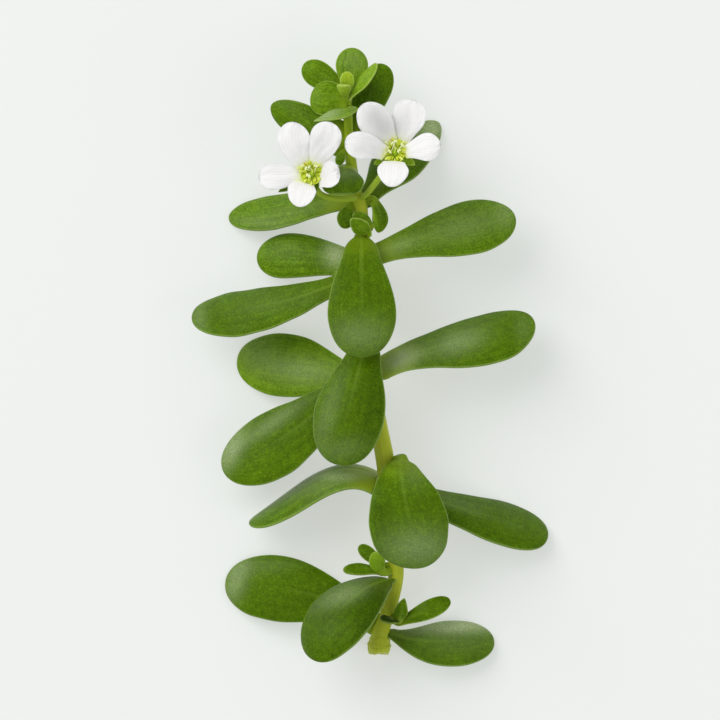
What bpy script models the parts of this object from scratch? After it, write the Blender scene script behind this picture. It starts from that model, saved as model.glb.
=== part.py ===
"""A flowering cutting of water hyssop, Bacopa monnieri, lying on its back on a flat surface.

Units are metres, +Z is up. The cutting lies along Y with its cut end at -Y and its crown at +Y,
and the side that carries the flowers looks up. Lengths in the tables are in millimetres.
Every leaf, petal and bud scale is one closed, fleshy blade drawn out along its own midrib.
"""
import math

import bmesh
import bpy
import numpy as np
from mathutils import Vector

MM = 0.001

STEM_RADIUS = 1.0
LEAF_THICKNESS = 1.05
SMALL_LEAF_THICKNESS = 0.5
PETAL_THICKNESS = 0.42

# Facets round and along each blade, few because the surfaces are smooth
LEAF_FACETS = (12, 10)
SMALL_FACETS = (10, 7)
PETAL_FACETS = (10, 8)

# Outline of a blade: its neck's width beside its widest place, the share of its length where it is
# widest, how round its tip is, and the share of its length over which its foot is rounded
NECK = 0.34
WIDEST = 0.66
TIP = 2.15
ROOT = 0.04
EDGE_FULLNESS = 0.75
# How far a blade's two edges drop below its midrib, beside its width
DOME = 0.04

COLOURS = {
    "leaf": (0.085, 0.205, 0.018),
    "young_leaf": (0.165, 0.330, 0.030),
    "stem": (0.290, 0.340, 0.060),
    "petal": (0.860, 0.850, 0.850),
    "flower_centre": (0.400, 0.480, 0.050),
}
ROUGHNESS = {"leaf": 0.45, "young_leaf": 0.45, "stem": 0.5, "petal": 0.6, "flower_centre": 0.5}

# Stem: points of its centre line and its radius as a share of STEM_RADIUS
STEM_ROUTE = [
    ((1.00, -35.7, 1.36), 1.34),
    ((1.10, -34.4, 1.60), 1.30),
    ((1.35, -32.9, 2.00), 1.05),
    ((2.00, -31.2, 2.50), 0.92),
    ((2.70, -28.8, 3.15), 0.90),
    ((3.05, -26.4, 3.80), 1.00),
    ((3.00, -24.0, 4.40), 1.00),
    ((2.60, -19.5, 5.60), 1.05),
    ((2.15, -15.5, 6.60), 1.18),
    ((1.75, -12.4, 7.20), 1.18),
    ((0.95, -8.2, 7.80), 1.10),
    ((0.10, -3.6, 8.20), 1.10),
    ((-0.55, 2.4, 8.45), 1.02),
    ((-0.90, 9.2, 8.50), 0.98),
    ((-0.95, 13.6, 8.50), 0.88),
    ((-1.05, 16.4, 8.50), 0.86),
    ((-1.35, 18.3, 8.60), 0.95),
    ((-1.65, 19.7, 8.68), 0.66),
    ((-1.90, 21.1, 8.80), 0.62),
    ((-2.35, 23.4, 9.05), 0.70),
    ((-2.60, 26.4, 9.40), 0.60),
    ((-2.70, 28.8, 9.80), 0.58),
    ((-2.75, 30.6, 10.35), 0.46),
    ((-2.80, 31.4, 10.85), 0.30),
]

# Large leaves: midrib from base to tip, width, and the way the upper face looks.
# A leaf that rests is bent down until it touches the surface.
LEAVES = {
    "leaf_bottom_right": dict(
        spine=[(2.8, -33.5, 2.2), (5.5, -34.3, 2.6), (9.4, -34.5, 2.7), (14.9, -34.3, 1.6)],
        width=6.1, face=(0, 0.45, 0.9), neck=0.34, widest=0.56, rests=True),
    "leaf_bottom_left": dict(
        spine=[(0.5, -32.2, 1.5), (-6.0, -29.05, 3.0), (-11.6, -27.85, 2.6), (-17.5, -27.4, 1.0)],
        width=8.0, face=(0, 0.15, 1), neck=0.36, widest=0.66, rests=True),
    "leaf_lower_front": dict(
        spine=[(2.2, -27.0, 5.2), (-1.4, -28.7, 8.2), (-4.4, -31.75, 9.6), (-7.2, -36.2, 9.4)],
        width=8.7, face=(-0.4, 0.4, 0.8), neck=0.30, widest=0.56, root=0.07, dome=0.06),
    "leaf_middle_left": dict(
        spine=[(0.6, -14.7, 6.4), (-2.4, -13.9, 6.6), (-7.6, -15.65, 5.6), (-14.6, -20.15, 3.4)],
        width=7.4, face=(0.1, 0.91, 0.42), neck=0.85, widest=0.5, tip=1.9, dome=0.12),
    "leaf_middle_right": dict(
        spine=[(3.6, -15.4, 6.2), (9.4, -18.0, 5.6), (15.0, -19.7, 3.6), (21.4, -21.65, 1.0)],
        width=6.9, face=(0.2, 0.62, 0.75), neck=0.42, widest=0.72, rests=True),
    "leaf_middle_front": dict(
        spine=[(3.55, -12.5, 9.2), (4.1, -17.2, 12.2), (4.7, -20.5, 12.5), (5.2, -25.4, 11.6)],
        width=9.5, face=(0, 0.5, 0.8), neck=0.50, widest=0.62, root=0.08, dome=0.05),
    "leaf_centre_front": dict(
        spine=[(-0.4, 2.0, 9.9), (-1.5, -2.2, 12.4), (-2.75, -7.2, 13.2), (-3.8, -13.0, 12.3)],
        width=8.7, face=(-0.1, 0.5, 0.8), neck=0.42, widest=0.62, root=0.14, dome=0.07),
    "leaf_centre_right": dict(
        spine=[(1.4, -1.4, 8.3), (4.9, 0.15, 8.3), (12.0, 1.72, 7.3), (19.2, 4.95, 5.2)],
        width=7.8, face=(-0.1, 0.6, 0.75), neck=0.46, widest=0.70, tip=2.0),
    "leaf_centre_left": dict(
        spine=[(-1.5, -2.2, 8.2), (-8.0, -8.0, 8.0), (-12.5, -10.95, 6.8), (-17.9, -12.6, 4.6)],
        width=8.5, face=(-0.2, 0.3, 0.93), neck=0.34, widest=0.68),
    "leaf_centre_back": dict(
        spine=[(-0.4, -3.4, 6.7), (-5.0, -1.95, 5.4), (-10.6, -1.0, 2.9), (-16.1, -0.5, 1.0)],
        width=7.7, face=(0, 0.1, 1), neck=0.34, widest=0.64, rests=True),
    "leaf_upper_front": dict(
        spine=[(-1.1, 14.3, 9.9), (-1.1, 9.6, 13.2), (-1.05, 5.0, 14.6), (-1.0, -0.1, 14.2)],
        width=8.2, face=(0, 0.6, 0.8), neck=0.46, widest=0.66, root=0.14),
    "leaf_upper_right": dict(
        spine=[(0.5, 12.15, 8.5), (5.9, 14.05, 8.6), (11.5, 15.5, 8.1), (17.3, 17.0, 6.8)],
        width=7.4, face=(0, 0.5, 0.87), neck=0.40, widest=0.70, tip=2.0),
    "leaf_upper_left": dict(
        spine=[(-2.3, 9.4, 8.5), (-8.5, 7.0, 8.2), (-15.0, 5.45, 7.0), (-21.4, 5.1, 5.0)],
        width=7.0, face=(0, 0.62, 0.78), neck=0.38, widest=0.70),
    "leaf_upper_back": dict(
        spine=[(-1.6, 10.8, 6.9), (-6.0, 11.9, 5.6), (-9.8, 12.2, 4.0), (-13.6, 12.0, 2.0)],
        width=5.8, face=(0, 0.3, 0.95), neck=0.60, widest=0.68),
    "leaf_top_left": dict(
        spine=[(-2.5, 18.65, 8.4), (-6.2, 18.2, 7.0), (-11.0, 17.55, 4.0), (-17.1, 16.7, 1.0)],
        width=4.8, face=(0, 0.45, 0.9), neck=0.47, widest=0.62, rests=True),
    "leaf_top_right": dict(
        spine=[(-0.45, 19.0, 8.2), (2.1, 22.05, 6.0), (4.9, 25.1, 3.0), (8.3, 28.2, 1.0)],
        width=6.2, face=(-0.2, 0.3, 0.9), neck=0.4, widest=0.47, tip=1.9, rests=True),
    "leaf_top_front": dict(
        spine=[(-2.7, 22.5, 10.0), (-3.25, 21.4, 12.0), (-3.4, 19.35, 12.8)],
        width=5.1, face=(0, 0.8, 0.6), neck=0.50, widest=0.6),
    "crown_leaf_left": dict(
        spine=[(-3.6, 26.05, 8.9), (-7.0, 27.55, 8.9), (-11.9, 30.2, 7.6)],
        width=4.4, face=(-0.1, -0.2, 1), neck=0.85, widest=0.5, tip=1.9),
    "crown_leaf_right": dict(
        spine=[(-1.8, 26.7, 7.9), (-0.57, 29.93, 7.4), (0.68, 32.73, 6.6), (1.85, 35.05, 6.0)],
        width=4.25, face=(0, 0.2, 1), neck=0.72, widest=0.62),
}

# Small leaves: the crown of the shoot and the side shoots that stand where the leaves meet the stem
SMALL_LEAVES = {
    "crown_leaf_front": dict(
        spine=[(-1.9, 29.65, 11.4), (-3.4, 29.2, 13.2), (-5.0, 28.75, 13.9), (-6.8, 28.15, 13.6)],
        width=2.8, face=(0.1, 0.93, 0.36), neck=0.4, widest=0.5, tip=1.5),
    "crown_leaf_top": dict(
        spine=[(-2.55, 31.7, 9.9), (-2.3, 34.4, 9.8), (-1.9, 37.0, 9.1)],
        width=3.95, face=(0, -0.2, 1), neck=0.45, widest=0.6, tip=2.0),
    "crown_leaf_top_left": dict(
        spine=[(-3.6, 32.0, 9.4), (-5.6, 33.4, 9.0), (-8.1, 35.0, 8.2)],
        width=3.3, face=(0, 0, 1), neck=0.7, widest=0.62, tip=2.0),
    "crown_leaf_side_left": dict(
        spine=[(-3.35, 30.85, 10.6), (-5.2, 31.0, 10.7), (-7.2, 31.05, 10.0)],
        width=4.4, face=(0, 0.3, 1), neck=0.85, widest=0.5),
    "crown_leaf_side_right": dict(
        spine=[(-2.4, 31.2, 11.5), (-1.3, 32.55, 12.2), (-0.4, 33.7, 12.4), (0.55, 35.1, 11.8)],
        width=2.8, face=(-0.75, 0.5, 0.48), neck=0.5, widest=0.55, tip=1.9),
    "crown_bud_right": dict(
        spine=[(-2.8, 31.7, 11.6), (-2.8, 33.0, 12.2), (-2.9, 34.1, 12.2)],
        width=1.7, face=(0, 0.3, 1), neck=0.5, widest=0.55),
    "crown_bud_left": dict(
        spine=[(-2.9, 30.75, 11.8), (-3.15, 31.7, 12.6), (-3.3, 32.5, 13.1)],
        width=1.8, face=(0.2, 0.8, -0.6), neck=0.3, widest=0.82, tip=3.0),
    "side_shoot_round_leaf": dict(
        spine=[(-2.4, 18.0, 9.2), (-2.85, 16.9, 9.6), (-2.7, 15.4, 9.2)],
        width=2.3, face=(0, 0.3, 1), neck=0.5, widest=0.55),
    "side_shoot_front_leaf": dict(
        spine=[(-0.3, 14.7, 10.2), (-1.2, 15.45, 11.7), (-2.4, 16.5, 12.5)],
        width=1.9, face=(-0.3, 0.1, 0.95), neck=0.5, widest=0.5),
    "side_shoot_back_leaf": dict(
        spine=[(0.1, 15.5, 10.0), (-0.8, 16.3, 11.0), (-2.15, 17.05, 11.4)],
        width=1.7, face=(0, 0.2, 1), neck=0.5, widest=0.5),
    "side_shoot_top_leaf": dict(
        spine=[(-3.3, 24.4, 9.8), (-3.6, 23.8, 10.2), (-3.85, 22.95, 10.2)],
        width=1.2, face=(0, 0.2, 1), neck=0.7, widest=0.5),
    "side_shoot_hanging_leaf": dict(
        spine=[(0.35, 18.7, 8.9), (1.15, 16.9, 9.4), (0.9, 14.85, 9.0)],
        width=1.8, face=(0.3, 0.1, 1), neck=0.5, widest=0.62),
    "bottom_shoot_long_leaf": dict(
        spine=[(3.5, -31.9, 3.6), (5.5, -31.1, 4.6), (7.5, -30.2, 4.9), (9.6, -29.3, 4.6)],
        width=2.4, face=(0, 0.3, 1), neck=0.5, widest=0.62),
    "bottom_shoot_upright_leaf": dict(
        spine=[(3.5, -31.7, 4.3), (3.7, -30.5, 5.2), (4.1, -29.05, 5.4)],
        width=1.75, face=(0, 0, 1), neck=0.5, widest=0.5),
    "bottom_shoot_dark_leaf": dict(
        spine=[(3.0, -32.0, 4.2), (2.1, -31.6, 5.2), (1.1, -31.45, 5.4)],
        width=1.6, face=(0, 0.93, 0.35), neck=0.5, widest=0.55),
    "lower_shoot_upper_leaf": dict(
        spine=[(1.4, -25.2, 4.7), (0.2, -24.1, 4.9), (-1.4, -22.8, 4.6)],
        width=1.7, face=(0, 0, 1), neck=0.6, widest=0.6),
    "lower_shoot_round_leaf": dict(
        spine=[(1.6, -25.9, 5.6), (0.85, -24.8, 6.4), (0.9, -23.45, 6.8)],
        width=2.0, face=(0, 0, 1), neck=0.5, widest=0.55),
    "lower_shoot_side_leaf": dict(
        spine=[(1.3, -26.0, 5.2), (-0.8, -25.55, 6.0), (-3.3, -25.7, 6.2)],
        width=1.7, face=(0, 0.5, 0.85), neck=0.5, widest=0.6),
}

# Petals of the two flowers: midrib from the throat to the tip, width, and the way the petal looks
PETALS = {
    "left_flower_petal_upper_left": dict(
        spine=[(-8.05, 23.0, 14.8), (-9.05, 25.3, 15.6), (-9.15, 28.0, 15.6)],
        width=3.85, face=(0, 0, 1), neck=0.50, tip=2.1),
    "left_flower_petal_upper_right": dict(
        spine=[(-6.45, 23.1, 15.0), (-5.6, 25.4, 15.9), (-4.75, 28.0, 15.9)],
        width=3.75, face=(0, 0, 1), neck=0.50),
    "left_flower_petal_left": dict(
        spine=[(-8.4, 21.75, 14.3), (-10.9, 21.55, 14.6), (-13.4, 21.45, 14.6)],
        width=3.3, face=(0, 0, 1), neck=0.50),
    "left_flower_petal_bottom": dict(
        spine=[(-7.9, 20.75, 14.8), (-8.25, 19.5, 16.2), (-8.4, 17.8, 16.8)],
        width=3.45, face=(0, 0.3, 1), neck=0.7, widest=0.45, tip=2.0),
    "left_flower_petal_right": dict(
        spine=[(-5.5, 22.4, 15.6), (-4.7, 22.4, 16.7), (-3.6, 22.1, 17.15)],
        width=3.9, face=(-0.6, 0, 0.8), neck=0.65, widest=0.5, tip=2.4),
    "right_flower_petal_upper_left": dict(
        spine=[(2.25, 25.75, 15.0), (0.75, 27.8, 16.0), (-1.05, 30.1, 16.2)],
        width=4.0, face=(0, 0, 1), neck=0.5, widest=0.55, tip=2.2),
    "right_flower_petal_upper_right": dict(
        spine=[(3.6, 25.8, 14.5), (4.4, 28.1, 15.1), (5.1, 30.65, 15.1)],
        width=4.1, face=(0, 0, 1), neck=0.50, widest=0.68, tip=2.3),
    "right_flower_petal_left": dict(
        spine=[(1.55, 24.35, 15.4), (-0.6, 25.1, 16.7), (-3.1, 25.35, 17.1)],
        width=3.3, face=(0, 0, 1), neck=0.55),
    "right_flower_petal_right": dict(
        spine=[(4.25, 24.4, 15.0), (6.35, 24.95, 16.0), (8.4, 25.15, 16.2)],
        width=3.3, face=(0, 0, 1), neck=0.45),
    "right_flower_petal_bottom": dict(
        spine=[(2.8, 23.3, 15.4), (2.65, 22.0, 16.8), (2.4, 20.2, 17.2)],
        width=3.75, face=(0, 0.3, 1), neck=0.7, widest=0.42, tip=1.95),
}

# Flowers: middle of the throat, the way the flower looks, the turn of its longest sepal, the reach of
# that sepal and the reach of the other four
FLOWERS = {
    "left_flower": dict(centre=(-7.0, 21.9, 14.2), look=(0, 0.1, 1), turn=208, longest=4.6, reach=2.4),
    "right_flower": dict(centre=(2.9, 24.5, 14.2), look=(0, 0.1, 1), turn=-18, longest=2.9, reach=2.9),
}
FLOWER_STALKS = {
    "left_flower_stalk": [(-2.2, 18.9, 9.7), (-4.2, 18.9, 10.6), (-6.0, 19.5, 11.2), (-6.9, 21.0, 12.0)],
    "right_flower_stalk": [(-0.7, 19.3, 9.5), (0.2, 20.3, 10.4), (1.5, 22.0, 11.4), (2.6, 23.6, 12.0)],
}
STALK_RADIUS = 0.36

# Throat: radius, half-depth and rise of its dome. Sepals: number, half-thickness, how far the cup lies
# under the throat, how far the tips rise and how narrow they are.
THROAT_RADIUS, THROAT_DEPTH, THROAT_RISE = 1.15, 0.62, 0.2
SEPALS = 5
SEPAL_DEPTH, SEPAL_DROP, SEPAL_RISE, SEPAL_NARROWING = 0.42, 1.25, 0.4, 1.5
THROAT_FACETS = (12, 8)
SEPAL_FACETS = (20, 8)


def smooth_path(points):
    """A curve through the points, as a function of the share of its length, with its direction."""
    points = np.array(points, float)
    chords = np.linalg.norm(np.diff(points, axis=0), axis=1)
    knots = np.concatenate([[0], np.cumsum(chords)]) / chords.sum()
    powers = np.arange(len(points))
    factors = np.linalg.solve(knots[:, None] ** powers, points)

    def place(share):
        return share ** powers @ factors

    def direction(share):
        slope = powers[1:] * share ** powers[:-1] @ factors[1:]
        return slope / np.linalg.norm(slope)

    return place, direction


def blade_outline(share, neck, widest, tip, root):
    """Half-width of a blade at a share of its length, beside its widest place."""
    if share < widest:
        swell = math.sin(math.pi / 2 * share / widest) ** 2
        width = neck + (1 - neck) * swell
    else:
        beyond = (share - widest) / (1 - widest)
        width = max(0.0, 1 - beyond ** tip) ** (1 / tip)
    if share < root:
        width *= math.sqrt(max(0.0, 1 - (1 - share / root) ** 2))
    return width


def signed_power(value, exponent):
    return math.copysign(abs(value) ** exponent, value)


def blade(name, colour, spine, width, face, thickness, facets,
          neck=NECK, widest=WIDEST, tip=TIP, root=ROOT, dome=DOME, rests=False):
    """A fleshy leaf, scale or petal: a sphere drawn out along its midrib, flattened and domed across it."""
    place, direction = smooth_path(spine)
    shape = bmesh.new()
    bmesh.ops.create_uvsphere(shape, u_segments=facets[0], v_segments=facets[1], radius=1)
    shares = {}
    for vertex in shape.verts:
        share = (vertex.co.z + 1) / 2
        shares[vertex] = share
        round_angle = math.atan2(vertex.co.y, vertex.co.x)
        along = direction(share)
        look = np.array(face, float)
        look -= look @ along * along
        look /= np.linalg.norm(look)
        side = np.cross(look, along)
        spread = blade_outline(share, neck, widest, tip, root)
        across = math.cos(round_angle) * spread * width / 2
        up = signed_power(math.sin(round_angle), EDGE_FULLNESS) * thickness / 2 * math.sqrt(spread)
        up -= dome * width * (2 * across / width) ** 2
        vertex.co = Vector((place(share) + across * side + up * look) * MM)
    if rests:
        bend_down_to_surface(shape.verts, shares)
    mesh = bpy.data.meshes.new(name)
    shape.to_mesh(mesh)
    shape.free()
    mesh.shade_smooth()
    return add_object(name, mesh, colour)


def bend_down_to_surface(vertices, shares):
    """Bends a blade, more towards its tip, until its lowest place touches the surface."""
    for _ in range(12):
        lowest = min(vertices, key=lambda vertex: vertex.co.z)
        drop = lowest.co.z / shares[lowest] ** 2
        for vertex in vertices:
            vertex.co.z -= drop * shares[vertex] ** 2


def tube(name, colour, route, radius, sides_setting, steps):
    """A stem or stalk: a bevelled curve through its route, with a share of the radius at each point."""
    curve = bpy.data.curves.new(name, "CURVE")
    curve.dimensions = "3D"
    curve.bevel_depth = radius * MM
    curve.bevel_resolution = sides_setting
    curve.resolution_u = steps
    curve.use_fill_caps = True
    spline = curve.splines.new("BEZIER")
    spline.bezier_points.add(len(route) - 1)
    for knot, (centre, share) in zip(spline.bezier_points, route):
        knot.co = Vector(centre) * MM
        knot.radius = share
        knot.handle_left_type = "AUTO"
        knot.handle_right_type = "AUTO"
    return add_object(name, curve, colour)


def flower_middle(name, centre, look, turn, longest, reach):
    """The green dome inside the throat, and the cup of five sepals under the petals."""
    facing = Vector((0, 0, 1)).rotation_difference(Vector(look)).to_matrix().to_4x4()
    facing.translation = Vector(centre) * MM
    dome = bmesh.new()
    bmesh.ops.create_uvsphere(dome, u_segments=THROAT_FACETS[0], v_segments=THROAT_FACETS[1], radius=1)
    for vertex in dome.verts:
        x, y, z = vertex.co
        vertex.co = Vector((x * THROAT_RADIUS, y * THROAT_RADIUS, z * THROAT_DEPTH + THROAT_RISE)) * MM
    dome.transform(facing)
    finish_mesh(name + "_centre", dome, "flower_centre")
    cup = bmesh.new()
    bmesh.ops.create_uvsphere(cup, u_segments=SEPAL_FACETS[0], v_segments=SEPAL_FACETS[1], radius=1)
    for vertex in cup.verts:
        angle = math.atan2(vertex.co.y, vertex.co.x)
        out = math.hypot(vertex.co.x, vertex.co.y)
        lobe = (0.5 + 0.5 * math.cos(SEPALS * angle)) ** SEPAL_NARROWING
        tip = longest if abs(angle) < math.pi / SEPALS else reach
        spread = out * (1 + (tip - 1) * lobe * out ** 2)
        height = vertex.co.z * SEPAL_DEPTH + SEPAL_RISE * lobe * out ** 2 - SEPAL_DROP
        angle += math.radians(turn)
        vertex.co = Vector((spread * math.cos(angle), spread * math.sin(angle), height)) * MM
    cup.transform(facing)
    finish_mesh(name + "_sepals", cup, "young_leaf")


def finish_mesh(name, shape, colour):
    mesh = bpy.data.meshes.new(name)
    shape.to_mesh(mesh)
    shape.free()
    mesh.shade_smooth()
    return add_object(name, mesh, colour)


def add_object(name, data, colour):
    """Puts an object in the cutting's collection, with a material of its own."""
    material = bpy.data.materials.new(name)
    material.use_nodes = True
    surface = material.node_tree.nodes["Principled BSDF"]
    surface.inputs["Base Color"].default_value = (*COLOURS[colour], 1)
    surface.inputs["Roughness"].default_value = ROUGHNESS[colour]
    surface.inputs["Metallic"].default_value = 0.0
    data.materials.append(material)
    made = bpy.data.objects.new(name, data)
    cutting.objects.link(made)
    return made


for old in list(bpy.data.objects):
    bpy.data.objects.remove(old)
cutting = bpy.data.collections.new("water_hyssop_cutting")
bpy.context.scene.collection.children.link(cutting)

tube("stem", "stem", STEM_ROUTE, STEM_RADIUS, sides_setting=3, steps=2)
for name, leaf in LEAVES.items():
    blade(name, "leaf", thickness=LEAF_THICKNESS, facets=LEAF_FACETS, **leaf)
for name, leaf in SMALL_LEAVES.items():
    blade(name, "young_leaf", thickness=SMALL_LEAF_THICKNESS, facets=SMALL_FACETS, **leaf)
for name, stalk in FLOWER_STALKS.items():
    tube(name, "young_leaf", [(centre, 1) for centre in stalk], STALK_RADIUS, sides_setting=2, steps=3)
for name, petal in PETALS.items():
    blade(name, "petal", thickness=PETAL_THICKNESS, facets=PETAL_FACETS, **petal)
for name, flower in FLOWERS.items():
    flower_middle(name, **flower)
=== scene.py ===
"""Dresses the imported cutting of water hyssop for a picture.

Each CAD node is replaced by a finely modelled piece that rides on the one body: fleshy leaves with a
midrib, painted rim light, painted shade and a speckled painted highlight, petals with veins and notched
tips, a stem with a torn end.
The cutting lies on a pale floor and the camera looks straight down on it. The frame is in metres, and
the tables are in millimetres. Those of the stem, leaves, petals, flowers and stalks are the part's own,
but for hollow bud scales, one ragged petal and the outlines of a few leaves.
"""
import math

import bmesh
import bpy
import numpy as np
from mathutils import Matrix, Vector


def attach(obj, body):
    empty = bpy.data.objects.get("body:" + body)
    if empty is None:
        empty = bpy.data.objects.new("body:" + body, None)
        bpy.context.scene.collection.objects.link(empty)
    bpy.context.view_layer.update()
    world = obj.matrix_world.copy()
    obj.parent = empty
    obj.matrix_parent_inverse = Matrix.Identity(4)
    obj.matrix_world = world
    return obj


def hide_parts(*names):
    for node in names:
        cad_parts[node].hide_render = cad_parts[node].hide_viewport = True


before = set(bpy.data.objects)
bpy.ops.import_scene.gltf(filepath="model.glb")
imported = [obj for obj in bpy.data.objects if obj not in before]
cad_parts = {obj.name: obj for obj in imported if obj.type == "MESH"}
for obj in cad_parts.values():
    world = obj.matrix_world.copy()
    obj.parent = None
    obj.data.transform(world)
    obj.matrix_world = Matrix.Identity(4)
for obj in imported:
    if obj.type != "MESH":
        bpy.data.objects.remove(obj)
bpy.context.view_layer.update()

MM = 0.001

STEM_RADIUS = 1.0
LEAF_THICKNESS = 1.05
SMALL_LEAF_THICKNESS = 0.5
# Petals are thinner here than in the part
PETAL_THICKNESS = 0.24

UP = (0, 0, 1)

# Outline of a blade: its neck's width beside its widest place, the share of its length where it is
# widest, how round its tip is, and the share of its length over which its foot is rounded
NECK = 0.34
WIDEST = 0.66
TIP = 2.15
ROOT = 0.04
EDGE_FULLNESS = 0.75
# How far a blade's two edges drop below its midrib, beside its width
DOME = 0.04

# Facets round and along the fine pieces
LEAF_MESH = (88, 96)
SMALL_MESH = (56, 56)
PETAL_MESH = (112, 72)
STEM_MESH = (72, 420)
STALK_MESH = (24, 60)
THROAT_MESH = (64, 48)
SEPAL_MESH = (24, 32)
BALL_MESH = (24, 16)
THREAD_MESH = (12, 24)

# Stem: points of its centre line and its radius as a share of STEM_RADIUS
STEM_ROUTE = [
    ((1.00, -35.7, 1.36), 1.34),
    ((1.10, -34.4, 1.60), 1.30),
    ((1.35, -32.9, 2.00), 1.05),
    ((2.00, -31.2, 2.50), 0.92),
    ((2.70, -28.8, 3.15), 0.90),
    ((3.05, -26.4, 3.80), 1.00),
    ((3.00, -24.0, 4.40), 1.00),
    ((2.60, -19.5, 5.60), 1.05),
    ((2.15, -15.5, 6.60), 1.18),
    ((1.75, -12.4, 7.20), 1.18),
    ((0.95, -8.2, 7.80), 1.10),
    ((0.10, -3.6, 8.20), 1.10),
    ((-0.55, 2.4, 8.45), 1.02),
    ((-0.90, 9.2, 8.50), 0.98),
    ((-0.95, 13.6, 8.50), 0.88),
    ((-1.05, 16.4, 8.50), 0.86),
    ((-1.35, 18.3, 8.60), 0.95),
    ((-1.65, 19.7, 8.68), 0.66),
    ((-1.90, 21.1, 8.80), 0.62),
    ((-2.35, 23.4, 9.05), 0.70),
    ((-2.60, 26.4, 9.40), 0.60),
    ((-2.70, 28.8, 9.80), 0.58),
    ((-2.75, 30.6, 10.35), 0.46),
    ((-2.80, 31.4, 10.85), 0.30),
]

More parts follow.
